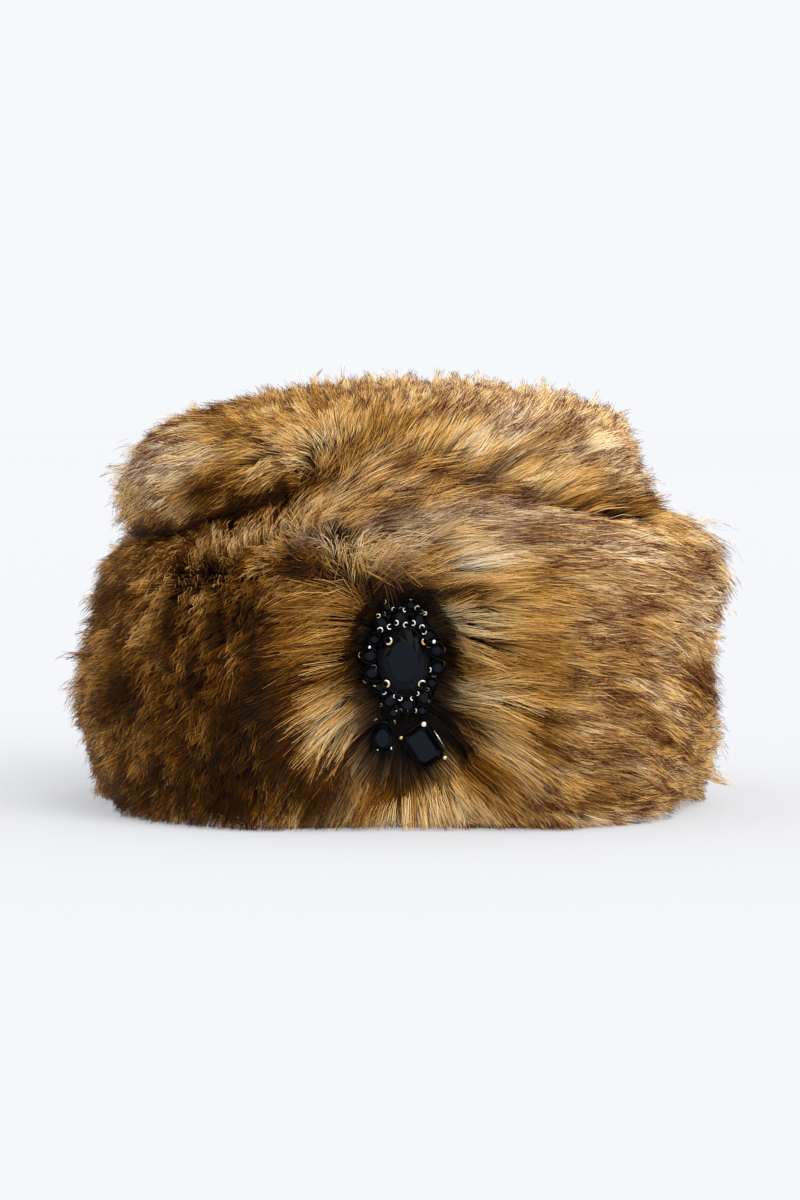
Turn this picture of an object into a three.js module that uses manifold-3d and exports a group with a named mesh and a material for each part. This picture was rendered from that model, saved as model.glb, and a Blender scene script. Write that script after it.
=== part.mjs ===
// Faux fur pillbox beanie with a brooch of black stones, standing on its hem. Millimetres, +Z up,
// front towards -Y. The origin lies on the surface that the hat stands on, under the middle of its outline.
import * as THREE from "three";
import { mergeVertices } from "three/addons/utils/BufferGeometryUtils.js";
import Module from "manifold-3d";

const wasm = await Module();
wasm.setup();

// Hat
const TOP_HEIGHT = 166;
const PLAN_POWER = 2.2;
const CLOTH_WALL = 2;
const CLOTH_TOP = 138;
const HEM_LIFT = 1.5;
const GAP = 0.3;
const COLUMNS = 48;
const CREASE_REACH = 11;

// Outer form of the fur on the band: share of the way up to the seam, and how far it reaches to each side.
const BAND_FORM = [
  { share: 0.0, left: 117, right: 115, front: 127, back: 126 },
  { share: 0.05, left: 122, right: 120, front: 132, back: 130.5 },
  { share: 0.2, left: 127, right: 126, front: 138, back: 135.5 },
  { share: 0.4, left: 129.6, right: 125.5, front: 140, back: 136.5 },
  { share: 0.56, left: 124.5, right: 126, front: 138.5, back: 136 },
  { share: 0.72, left: 120.5, right: 129.5, front: 136.5, back: 135 },
  { share: 0.84, left: 119, right: 128.5, front: 134, back: 132.5 },
  { share: 0.94, left: 116, right: 120, front: 129.5, back: 128 },
  { share: 1.0, left: 112, right: 112, front: 125, back: 124.5 },
];

// Outer form of the fur on the crown: share of the way from the seam up to the top, and how far it reaches.
const CROWN_FORM = [
  { rise: 0.0, left: 112, right: 112, front: 125, back: 124.5 },
  { rise: 0.12, left: 113, right: 103, front: 124, back: 126 },
  { rise: 0.28, left: 112.5, right: 98.5, front: 122, back: 125 },
  { rise: 0.45, left: 108, right: 95.5, front: 118, back: 121 },
  { rise: 0.62, left: 103, right: 91, front: 110, back: 113 },
  { rise: 0.76, left: 88, right: 83, front: 95, back: 98 },
  { rise: 0.88, left: 58, right: 57, front: 66, back: 68 },
  { rise: 0.96, left: 28, right: 28, front: 34, back: 35 },
];

// The crease where crown and band meet, round the hat: azimuth from the front, + to the viewer's right.
const SEAM = [
  { azimuth: -180, height: 116, depth: 5 },
  { azimuth: -120, height: 111, depth: 6 },
  { azimuth: -90, height: 109, depth: 7 },
  { azimuth: -66, height: 109.5, depth: 9 },
  { azimuth: -43, height: 112, depth: 11 },
  { azimuth: -30, height: 116.5, depth: 13 },
  { azimuth: -21, height: 123, depth: 13 },
  { azimuth: -8, height: 134, depth: 8 },
  { azimuth: 0, height: 133, depth: 5 },
  { azimuth: 10, height: 127, depth: 5 },
  { azimuth: 22, height: 121, depth: 8 },
  { azimuth: 42, height: 117, depth: 10 },
  { azimuth: 55, height: 119, depth: 8 },
  { azimuth: 90, height: 118, depth: 6 },
  { azimuth: 130, height: 117, depth: 5 },
  { azimuth: 180, height: 116, depth: 5 },
];

// The cloth under the fur, a sack with the same form to both sides: half width and half depth of its
// outer face. Its seam rises and falls half as much as the crease over it.
const CLOTH_BAND = [
  { share: 0, wide: 90, deep: 103 },
  { share: 0.5, wide: 94, deep: 107 },
  { share: 1, wide: 88, deep: 101 },
];
const CLOTH_CROWN = [
  { rise: 0, wide: 88, deep: 101 },
  { rise: 0.45, wide: 83, deep: 95 },
  { rise: 0.8, wide: 66, deep: 76 },
  { rise: 0.96, wide: 34, deep: 39 },
];
const CLOTH_SEAM_LEVEL = 45;
const CLOTH_SEAM_SHARE = 0.5;

// Heights of the rings that each surface is built through.
const BAND_SHARES = [0, 0.05, 0.13, 0.23, 0.34, 0.45, 0.56, 0.66, 0.75, 0.83, 0.9, 0.96, 1];
const CROWN_RISES = [0, 0.06, 0.14, 0.25, 0.37, 0.5, 0.62, 0.72, 0.82, 0.9, 0.96];
const CLOTH_SHARES = [0, 0.35, 0.7, 1];
const CLOTH_RISES = [0, 0.3, 0.55, 0.75, 0.88, 0.96];

// The dent that the brooch presses into the fur: a dish with a flat floor, wider towards its mouth.
const DISH = { x: 1.5, z: 52, floor: 111, power: 2.6, points: 28 };
const DISH_LEVELS = [
  { out: 0, wide: 20, tall: 36.5 },
  { out: 9, wide: 23.5, tall: 40 },
  { out: 22, wide: 32, tall: 48.5 },
  { out: 39, wide: 44, tall: 60.5 },
];

// Brooch. Its own frame has x to the viewer's right, y up and z out of the hat, from the plate's back.
const BROOCH = { x: 1.4, z: 62.8, turn: 4.5 };
const PLATE = { wide: 13.2, tall: 19.5, thick: 1, points: 16 };
const PIN = { radius: 0.8, length: 30, y: 4, sides: 8 };
const CLEARANCE = 0.15;
const CUP = { wall: 0.7, rim: -0.4 };
const CLAW = { thick: 0.7, off: 0.2, foot: -1.4, bend: 0.7, over: 0.35, tip: 0.8, steps: 2 };
const WIRE = { radius: 0.3, sides: 6, steps: 10 };
const EYE_RADIUS = 0.95;
const LINK_DEPTH = 1.3;

// Cuts of stone: heights over and under the girdle, and the share of the outline at the crown's middle
// and table.
const CUTS = {
  oval: { points: 16, crown: 2.3, pavilion: 3.1, middle: 0.83, table: 0.6 },
  round: { points: 8, crown: 1.3, pavilion: 1.7, middle: 0.84, table: 0.6 },
  octagon: { points: 8, crown: 1.7, pavilion: 2.2, middle: 0.88, table: 0.7 },
};
const GIRDLE = 0.25;
const CULET_SHARE = 0.3;
const BELLY = { share: 0.78, depth: 0.5 };
const CROWN_BREAK = 0.52;

const BIG_CLAWS = [38, 142, 218, 322];

const MAIN_STONES = [
  { name: "stone_center", cut: "oval", x: 0, y: 0, wide: 18, tall: 25, seat: 4.4, turn: 0, claws: BIG_CLAWS },
  { name: "stone_top_center", cut: "round", x: 0, y: 16.5, wide: 4.8, tall: 5.8, seat: 3.1, turn: 0 },
  { name: "stone_bottom_center", cut: "round", x: 0, y: -16.2, wide: 4.8, tall: 5.4, seat: 3.1, turn: 0 },
];
const PAIRED_STONES = [
  { name: "stone_top", cut: "round", x: 6.8, y: 14.8, wide: 4.6, tall: 6, seat: 3.1, turn: -24 },
  { name: "stone_bottom", cut: "round", x: 6.4, y: -14.2, wide: 4.6, tall: 5.8, seat: 3.1, turn: 24 },
  { name: "stone_cap_upper", cut: "round", x: 4.3, y: 20.5, wide: 3.9, tall: 3.9, seat: 2.9, turn: 0 },
  { name: "stone_cap_lower", cut: "round", x: 5.4, y: -18.8, wide: 3.8, tall: 3.8, seat: 2.9, turn: 0 },
  { name: "stone_side_high", cut: "round", x: 10.2, y: 8.9, wide: 4, tall: 4, seat: 3, turn: 0 },
  { name: "stone_side_upper", cut: "round", x: 12.5, y: 3, wide: 5.2, tall: 5.2, seat: 3.2, turn: 0 },
  { name: "stone_side_lower", cut: "round", x: 12.3, y: -3.4, wide: 5.2, tall: 5.2, seat: 3.2, turn: 0 },
  { name: "stone_side_low", cut: "round", x: 9.6, y: -8.9, wide: 4, tall: 4, seat: 3, turn: 0 },
];
const SMALL_CLAWS = [30, 150, 270];

const DROP_CLAWS = [50, 130, 230, 310];
const CORNERS = [45, 135, 225, 315];

// Drops: the stone, and the place of the wire eye under the brooch that its link hangs from.
const DROPS = [
  {
    side: "left",
    eye: { x: -9.6, y: -16.1 },
    stone: { cut: "oval", x: -10.1, y: -27.7, wide: 7.8, tall: 11, seat: 3.4, turn: -4.5, claws: DROP_CLAWS },
  },
  {
    side: "right",
    eye: { x: 0.4, y: -20.2 },
    stone: { cut: "octagon", x: 4.5, y: -31.9, wide: 10, tall: 14, seat: 3.4, turn: 29, claws: CORNERS },
  },
];
const OCTAGON_CORNER = 0.15;
const EYE_HEIGHT = 2.1;
const DROP_FOOT = 0.4;

// Smooth reading of a table: a function that gives the named columns at any value of its first column.
function reader(rows, key, columns) {
  const values = rows.flatMap((row) => columns.map((column) => row[column]));
  const track = new THREE.CubicInterpolant(rows.map((row) => row[key]), values, columns.length);
  return (at) => {
    const found = track.evaluate(at);
    return Object.fromEntries(columns.map((column, i) => [column, found[i]]));
  };
}

const SIDES = ["left", "right", "front", "back"];
const bandForm = reader(BAND_FORM, "share", SIDES);
const crownForm = reader(CROWN_FORM, "rise", SIDES);
const clothBand = reader(CLOTH_BAND, "share", ["wide", "deep"]);
const clothCrown = reader(CLOTH_CROWN, "rise", ["wide", "deep"]);
const seam = reader(SEAM, "azimuth", ["height", "depth"]);
const seamAt = (azimuth) => seam(THREE.MathUtils.radToDeg(azimuth));
const clothSeamHeight = (azimuth) => CLOTH_SEAM_LEVEL + CLOTH_SEAM_SHARE * seamAt(azimuth).height;
const onAxis = (z) => new THREE.Vector3(0, 0, z);
const backwards = (list) => [...list].reverse();

// How far an oval outline that reaches its own way to each side lies from the axis at an azimuth.
function planRadius(azimuth, reach) {
  const across = Math.sin(azimuth) / (azimuth > 0 ? reach.right : reach.left);
  const along = Math.cos(azimuth) / (Math.cos(azimuth) > 0 ? reach.front : reach.back);
  return (Math.abs(across) ** PLAN_POWER + Math.abs(along) ** PLAN_POWER) ** (-1 / PLAN_POWER);
}

// One ring round the hat, from its radius and its height at each azimuth.
function ring(radiusAt, heightAt) {
  return Array.from({ length: COLUMNS }, (_, i) => {
    const azimuth = -Math.PI + (2 * Math.PI * (i + 0.5)) / COLUMNS;
    const radius = radiusAt(azimuth);
    return new THREE.Vector3(radius * Math.sin(azimuth), -radius * Math.cos(azimuth), heightAt(azimuth));
  });
}

// The crease draws the fur in by its depth at the seam, and less the further above or below it.
function furRing(reach, heightAt) {
  const radius = (azimuth) => {
    const near = Math.exp(-(((heightAt(azimuth) - seamAt(azimuth).height) / CREASE_REACH) ** 2));
    return planRadius(azimuth, reach) - seamAt(azimuth).depth * near;
  };
  return ring(radius, heightAt);
}

const bandRing = (share) => furRing(bandForm(share), (azimuth) => share * (seamAt(azimuth).height - GAP));

const crownRing = (rise) =>
  furRing(crownForm(rise), (azimuth) =>
    THREE.MathUtils.lerp(seamAt(azimuth).height + GAP, TOP_HEIGHT, rise),
  );

function clothRing({ wide, deep }, inset, heightAt) {
  const reach = { left: wide - inset, right: wide - inset, front: deep - inset, back: deep - inset };
  return ring((azimuth) => planRadius(azimuth, reach), heightAt);
}

const clothBandRing = (share, inset, low) =>
  clothRing(clothBand(share), inset, (azimuth) =>
    THREE.MathUtils.lerp(low, clothSeamHeight(azimuth) - GAP, share),
  );

const clothCrownRing = (rise, inset) =>
  clothRing(clothCrown(rise), inset, (azimuth) =>
    THREE.MathUtils.lerp(clothSeamHeight(azimuth) + GAP, CLOTH_TOP - inset, rise),
  );

// A closed surface through rings with as many points each. It ends in a point at both ends, or else loops
// round. The diagonals slope one way in the first case and the other way in the second, so that the edges
// of the crown and of the band, which run in opposite directions, stay parallel where they face each other.
function skin(rings, start, end) {
  const count = rings[0].length;
  const points = rings.flat();
  const faces = [];
  const bands = start ? rings.length - 1 : rings.length;
  for (let k = 0; k < bands; k++) {
    for (let i = 0; i < count; i++) {
      const next = (i + 1) % count;
      const low = k * count;
      const high = ((k + 1) % rings.length) * count;
      if (start) faces.push(low + i, low + next, high + i, low + next, high + next, high + i);
      else faces.push(low + i, low + next, high + next, low + i, high + next, high + i);
    }
  }
  if (start) {
    const last = (rings.length - 1) * count;
    points.push(start, end);
    for (let i = 0; i < count; i++) {
      const next = (i + 1) % count;
      faces.push(points.length - 2, next, i, points.length - 1, last + i, last + next);
    }
  }
  return new THREE.BufferGeometry().setFromPoints(points).setIndex(faces);
}

function solidOf(geometry, matrix = new THREE.Matrix4()) {
  const bare = geometry.clone().applyMatrix4(matrix);
  bare.deleteAttribute("normal");
  bare.deleteAttribute("uv");
  const merged = mergeVertices(bare);
  const triVerts = new Uint32Array(merged.index.array);
  const vertProperties = merged.attributes.position.array;
  return new wasm.Manifold(new wasm.Mesh({ numProp: 3, vertProperties, triVerts }));
}

function geometryOf(solid) {
  const mesh = solid.getMesh();
  return new THREE.BufferGeometry()
    .setAttribute("position", new THREE.BufferAttribute(Float32Array.from(mesh.vertProperties), 3))
    .setIndex(new THREE.BufferAttribute(Uint32Array.from(mesh.triVerts), 1));
}

const joined = (solids) => solids.reduce((whole, solid) => whole.add(solid));

// One level of an oval shape in the plane of x and y.
function level(points, halfWide, halfTall, z, power = 2, shift = 0) {
  return Array.from({ length: points }, (_, i) => {
    const angle = (2 * Math.PI * (i + shift)) / points;
    const c = Math.cos(angle);
    const s = Math.sin(angle);
    const size = (Math.abs(c) ** power + Math.abs(s) ** power) ** (-1 / power);
    return new THREE.Vector3(halfWide * size * c, halfTall * size * s, z);
  });
}

// One level of an octagon with long sides and short corners.
function octagonLevel(halfWide, halfTall, z) {
  const corner = OCTAGON_CORNER * (halfWide + halfTall);
  const x = halfWide;
  const y = halfTall;
  const quarter = [
    [x, y - corner],
    [x - corner, y],
  ];
  const half = [...quarter, ...backwards(quarter).map(([a, b]) => [-a, b])];
  return [...half, ...half.map(([a, b]) => [-a, -b])].map(([a, b]) => new THREE.Vector3(a, b, z));
}

const place = (x, y, z, turn) =>
  new THREE.Matrix4()
    .makeTranslation(x, y, z)
    .multiply(new THREE.Matrix4().makeRotationZ(THREE.MathUtils.degToRad(turn)));
const seatOf = (stone) => place(stone.x, stone.y, stone.seat, stone.turn);

// A cut stone round its girdle at z = 0. Half a step between two rings makes the crown's pointed facets.
function cutStone(stone, grow = 0) {
  const cut = CUTS[stone.cut];
  const halfWide = stone.wide / 2 + grow;
  const halfTall = stone.tall / 2 + grow;
  const at = (share, z, shift = 0) =>
    stone.cut === "octagon"
      ? octagonLevel(halfWide - (1 - share) * halfWide, halfTall - (1 - share) * halfWide, z)
      : level(cut.points, halfWide * share, halfTall * share, z, 2, shift);
  const top = GIRDLE + cut.crown + grow;
  const bottom = -cut.pavilion - grow;
  const rings = [
    at(CULET_SHARE, bottom),
    at(BELLY.share, bottom * BELLY.depth),
    at(1, -GIRDLE - grow),
    at(1, GIRDLE + grow),
    at(cut.middle, GIRDLE + grow + cut.crown * CROWN_BREAK, 0.5),
    at(cut.table, top),
  ];
  return skin(rings, onAxis(bottom), onAxis(top));
}

// The cup that a stone sits in, from its foot up to just under the girdle, before the stone's seat is cut.
function cup(stone, foot) {
  const halfWide = stone.wide / 2 + CUP.wall;
  const halfTall = stone.tall / 2 + CUP.wall;
  const outline = stone.cut === "octagon" ? octagonLevel : level.bind(null, CUTS[stone.cut].points);
  const rings = [foot, CUP.rim].map((z) => outline(halfWide, halfTall, z));
  return solidOf(skin(rings, onAxis(foot), onAxis(CUP.rim)), seatOf(stone));
}

// Where a claw stands on the girdle, and the way straight out from there. On an octagon that is a corner.
function clawPlace(stone, degrees) {
  const angle = THREE.MathUtils.degToRad(degrees);
  const halfWide = stone.wide / 2;
  const halfTall = stone.tall / 2;
  if (stone.cut === "octagon") {
    const side = new THREE.Vector3(Math.sign(Math.cos(angle)), Math.sign(Math.sin(angle)), 0);
    const inset = (OCTAGON_CORNER * (halfWide + halfTall)) / 2;
    const edge = side.clone().multiply(new THREE.Vector3(halfWide - inset, halfTall - inset, 0));
    return { edge, away: side.normalize() };
  }
  return {
    edge: new THREE.Vector3(halfWide * Math.cos(angle), halfTall * Math.sin(angle), 0),
    away: new THREE.Vector3(Math.cos(angle) / halfWide, Math.sin(angle) / halfTall, 0).normalize(),
  };
}

// A claw rises outside the girdle and bends over onto the crown.
function claw(stone, degrees) {
  const crown = CUTS[stone.cut].crown;
  const { edge, away } = clawPlace(stone, degrees);
  const at = (out, z) => edge.clone().addScaledVector(away, out).setZ(z);
  const off = CLAW.off + CLAW.thick / 2;
  const path = new THREE.QuadraticBezierCurve3(
    at(off, CLAW.foot),
    at(off, GIRDLE + CLAW.bend * crown),
    at(-CLAW.over, GIRDLE + CLAW.tip * crown + off),
  );
  const half = CLAW.thick / 2;
  const shape = new THREE.Shape([
    new THREE.Vector2(-half, 0),
    new THREE.Vector2(0, -half),
    new THREE.Vector2(half, 0),
    new THREE.Vector2(0, half),
  ]);
  const options = { steps: CLAW.steps, extrudePath: path, bevelEnabled: false };
  return solidOf(new THREE.ExtrudeGeometry(shape, options), seatOf(stone));
}

// A ring of wire with its middle line an oval in the plane of y and z.
function wireRing(halfLong, halfDeep) {
  const rings = Array.from({ length: WIRE.steps }, (_, k) => {
    const angle = (2 * Math.PI * k) / WIRE.steps;
    const middle = new THREE.Vector3(0, halfLong * Math.cos(angle), halfDeep * Math.sin(angle));
    const out = new THREE.Vector3(0, Math.cos(angle) / halfLong, Math.sin(angle) / halfDeep).normalize();
    return Array.from({ length: WIRE.sides }, (_, i) => {
      const turn = (2 * Math.PI * i) / WIRE.sides;
      const point = middle.clone().addScaledVector(out, WIRE.radius * Math.cos(turn));
      return point.setX(-WIRE.radius * Math.sin(turn));
    });
  });
  return skin(rings);
}

const eyeRing = (x, y) =>
  solidOf(wireRing(EYE_RADIUS, EYE_RADIUS).rotateY(Math.PI / 2), place(x, y, EYE_HEIGHT, 0));

const metal = new THREE.MeshStandardMaterial({ color: 0x8d8272, roughness: 0.3, metalness: 1 });
const jet = new THREE.MeshStandardMaterial({ color: 0x0c0c10, roughness: 0.05, metalness: 0 });
const knit = new THREE.MeshStandardMaterial({ color: 0x3a2a1c, roughness: 0.95, metalness: 0 });
const bandFur = new THREE.MeshStandardMaterial({ color: 0x8a6436, roughness: 0.9, metalness: 0 });
const crownFur = new THREE.MeshStandardMaterial({ color: 0x94703f, roughness: 0.9, metalness: 0 });

function part(name, geometry, material) {
  const mesh = new THREE.Mesh(geometry, material);
  mesh.name = name;
  return mesh;
}

function stonePart(stone) {
  const mesh = part(stone.name, cutStone(stone), jet);
  mesh.position.set(stone.x, stone.y, stone.seat);
  mesh.rotation.z = THREE.MathUtils.degToRad(stone.turn);
  return mesh;
}

// A setting: cups and claws of some stones on whatever carries them, with room cut for each stone.
function setting(base, stones, foot) {
  const claws = stones.flatMap((stone) =>
    (stone.claws ?? SMALL_CLAWS).map((degrees) => claw(stone, degrees)),
  );
  const cups = stones.map((stone) => cup(stone, foot - stone.seat));
  const room = stones.map((stone) => solidOf(cutStone(stone, CLEARANCE), seatOf(stone)));
  return joined([...base, ...cups, ...claws]).subtract(joined(room));
}

// The top of a drop, where its own eye stands, in the brooch's frame.
function dropEye({ stone }) {
  const up = THREE.MathUtils.degToRad(stone.turn + 90);
  const reach = stone.tall / 2 + CUP.wall + EYE_RADIUS - WIRE.radius;
  return { x: stone.x + reach * Math.cos(up), y: stone.y + reach * Math.sin(up) };
}

function drop({ side, stone, eye }) {
  const own = dropEye({ stone });
  const frame = setting([eyeRing(own.x, own.y)], [stone], DROP_FOOT);
  const across = new THREE.Vector2(eye.x - own.x, eye.y - own.y);
  const link = part(`drop_link_${side}`, wireRing(across.length() / 2, LINK_DEPTH), metal);
  link.position.set((eye.x + own.x) / 2, (eye.y + own.y) / 2, EYE_HEIGHT);
  link.rotation.z = across.angle() - Math.PI / 2;
  return [
    part(`drop_setting_${side}`, geometryOf(frame), metal),
    stonePart({ ...stone, name: `drop_stone_${side}` }),
    link,
  ];
}

function bothSides(stone) {
  return [
    { ...stone, name: `${stone.name}_left`, x: -stone.x, turn: -stone.turn },
    { ...stone, name: `${stone.name}_right` },
  ];
}

const stones = [...MAIN_STONES, ...PAIRED_STONES.flatMap(bothSides)];

function plate() {
  const rings = [0, PLATE.thick].map((z) => level(PLATE.points, PLATE.wide, PLATE.tall, z));
  return solidOf(skin(rings, onAxis(0), onAxis(PLATE.thick)));
}

// The pin lies across the back of the plate, in a groove in the pressed fur.
function pinBar(grow) {
  const radius = PIN.radius + grow;
  const bar = new THREE.CylinderGeometry(radius, radius, PIN.length + 2 * grow, PIN.sides);
  return bar.rotateZ(Math.PI / 2).translate(0, PIN.y, -PIN.radius - GAP);
}

function brooch() {
  const group = new THREE.Group();
  group.position.set(BROOCH.x, -DISH.floor - GAP, BROOCH.z);
  group.rotation.set(Math.PI / 2, 0, THREE.MathUtils.degToRad(BROOCH.turn));
  const base = [plate(), ...DROPS.map(({ eye }) => eyeRing(eye.x, eye.y))];
  group.add(
    part("brooch_frame", geometryOf(setting(base, stones, PLATE.thick / 2)), metal),
    part("brooch_pin", pinBar(0), metal),
    ...stones.map(stonePart),
    ...DROPS.flatMap(drop),
  );
  group.updateMatrixWorld(true);
  return group;
}

function dish() {
  const { points, power, floor, x, z } = DISH;
  const rings = DISH_LEVELS.map(({ out, wide, tall }) => level(points, wide, tall, out, power));
  const mouth = DISH_LEVELS.at(-1).out;
  const facing = new THREE.Matrix4().makeRotationX(Math.PI / 2).setPosition(x, -floor, z);
  return solidOf(skin(rings, onAxis(0), onAxis(mouth)), facing);
}

function bandPile(pinPlace) {
  const whole = skin([
    ...BAND_SHARES.map(bandRing),
    ...backwards(CLOTH_SHARES).map((share) => clothBandRing(share, -GAP, 0)),
  ]);
  return geometryOf(solidOf(whole).subtract(dish()).subtract(solidOf(pinBar(2 * GAP), pinPlace)));
}

function crownPile() {
  const rings = [
    ...backwards(CLOTH_RISES).map((rise) => clothCrownRing(rise, -GAP)),
    ...CROWN_RISES.map(crownRing),
  ];
  return skin(rings, onAxis(CLOTH_TOP + GAP), onAxis(TOP_HEIGHT));
}

function bandCloth() {
  return skin([
    ...CLOTH_SHARES.map((share) => clothBandRing(share, 0, HEM_LIFT)),
    ...backwards(CLOTH_SHARES).map((share) => clothBandRing(share, CLOTH_WALL, HEM_LIFT)),
  ]);
}

function crownCloth() {
  const rings = [
    ...backwards(CLOTH_RISES).map((rise) => clothCrownRing(rise, CLOTH_WALL)),
    ...CLOTH_RISES.map((rise) => clothCrownRing(rise, 0)),
  ];
  return skin(rings, onAxis(CLOTH_TOP - CLOTH_WALL), onAxis(CLOTH_TOP));
}

const hat = new THREE.Group();
const pinned = brooch();
hat.add(
  part("band_cloth", bandCloth(), knit),
  part("crown_cloth", crownCloth(), knit),
  part("band_pile", bandPile(pinned.matrixWorld), bandFur),
  part("crown_pile", crownPile(), crownFur),
  pinned,
);

export default hat;
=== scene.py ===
import math

import bmesh
import bpy
import numpy as np
from mathutils import Matrix, Vector
from mathutils.bvhtree import BVHTree
from mathutils.kdtree import KDTree


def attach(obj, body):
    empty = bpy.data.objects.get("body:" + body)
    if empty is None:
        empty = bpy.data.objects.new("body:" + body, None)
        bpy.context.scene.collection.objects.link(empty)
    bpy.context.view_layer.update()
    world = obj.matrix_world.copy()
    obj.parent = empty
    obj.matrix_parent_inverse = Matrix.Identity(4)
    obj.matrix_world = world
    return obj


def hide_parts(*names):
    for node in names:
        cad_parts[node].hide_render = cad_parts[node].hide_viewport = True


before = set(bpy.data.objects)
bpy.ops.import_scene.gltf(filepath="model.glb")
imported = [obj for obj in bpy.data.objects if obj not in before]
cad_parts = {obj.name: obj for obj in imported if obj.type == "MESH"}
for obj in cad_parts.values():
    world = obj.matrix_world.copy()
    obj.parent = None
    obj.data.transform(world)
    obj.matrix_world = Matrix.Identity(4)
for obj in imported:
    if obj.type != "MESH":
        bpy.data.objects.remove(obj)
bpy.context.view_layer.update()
MM = 0.001
random = np.random.default_rng(7)
WAVE_SPREAD, WAVE_SIZE = (0.6, 1.5), 1.2

# Photograph and camera
PHOTO_WIDE, PHOTO_TALL = 800, 1200
FOCAL_PIXELS = 4030
SENSOR = 36
CAMERA_PLACE = Vector((0, -1.6, 0.155))
CAMERA_AIM = Vector((0, 0, 0.080))
CAMERA_TURN = (CAMERA_AIM - CAMERA_PLACE).to_track_quat("-Z", "Y")

# The fur's outer form is sampled by direction from a middle inside the hat
MIDDLE = np.array((0, 0, 0.070))
AZIMUTHS, LEVELS = 400, 170
LOWEST, HIGHEST = math.radians(-44), math.radians(90)
OUTSIDE = 0.4
LEAST = 1e-3
FAR_AWAY = 9
FORM_INSET = 2.5 * MM
PILE_ROUNDS = 2
PILE_DEPTH = 8.5 * MM
LEAST_DEPTH = 0.5 * MM
CLOTH_COVER = 1.2 * MM
UNDERCOAT_FOOT, UNDERCOAT_STEP = 6, 2
FLOOR_GAP = 0.3 * MM

# The brooch and the dent round it, in the photograph and on the hat
BROOCH_X, BROOCH_Y = 404, 658
BROOCH_MIDDLE = (1.4 * MM, 62.8 * MM)
BROOCH_REACH = (13.5 * MM, 21.5 * MM)
DROPS_MIDDLE = (-1 * MM, 33 * MM)
DROPS_REACH = (17 * MM, 12 * MM)
DENT_MIDDLE = (2 * MM, 52 * MM)
DENT_REACH = (70 * MM, 74 * MM)
DENT_ROUNDS = 240
DENT_FILL = 0.8
DENT_FADE = (1.0, 0.75)
BROOCH_FADE = (0.95, 1.22)
DROPS_FADE = (1.0, 1.4)
DENT_FOOT = (26 * MM, 8 * MM)
DENT_FOOT_REACH = (46 * MM, 62 * MM)
HEM_HEIGHT = 12 * MM
HEM_TUCK = 0.985
CREASE_FLOOR = 0.1
CREASE_FADE = (-72 * MM, -42 * MM)
CREASE_FILL = 0.9
CREASE_ROUNDS = 40

# Where the fur lies closer than the outer form. Lengths are in mm and azimuths in degrees from the front.
TRIMS = [
    # azimuth, height, reach, inset
    (-74, 4, 38, 8),
    (66, 3, 32, 7.5),
    (90, 102, 26, 7),
    (84, 146, 30, 7),
    (-84, 150, 30, 5),
    (90, 68, 36, 9),
    (-90, 62, 40, 2.5),
]

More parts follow.
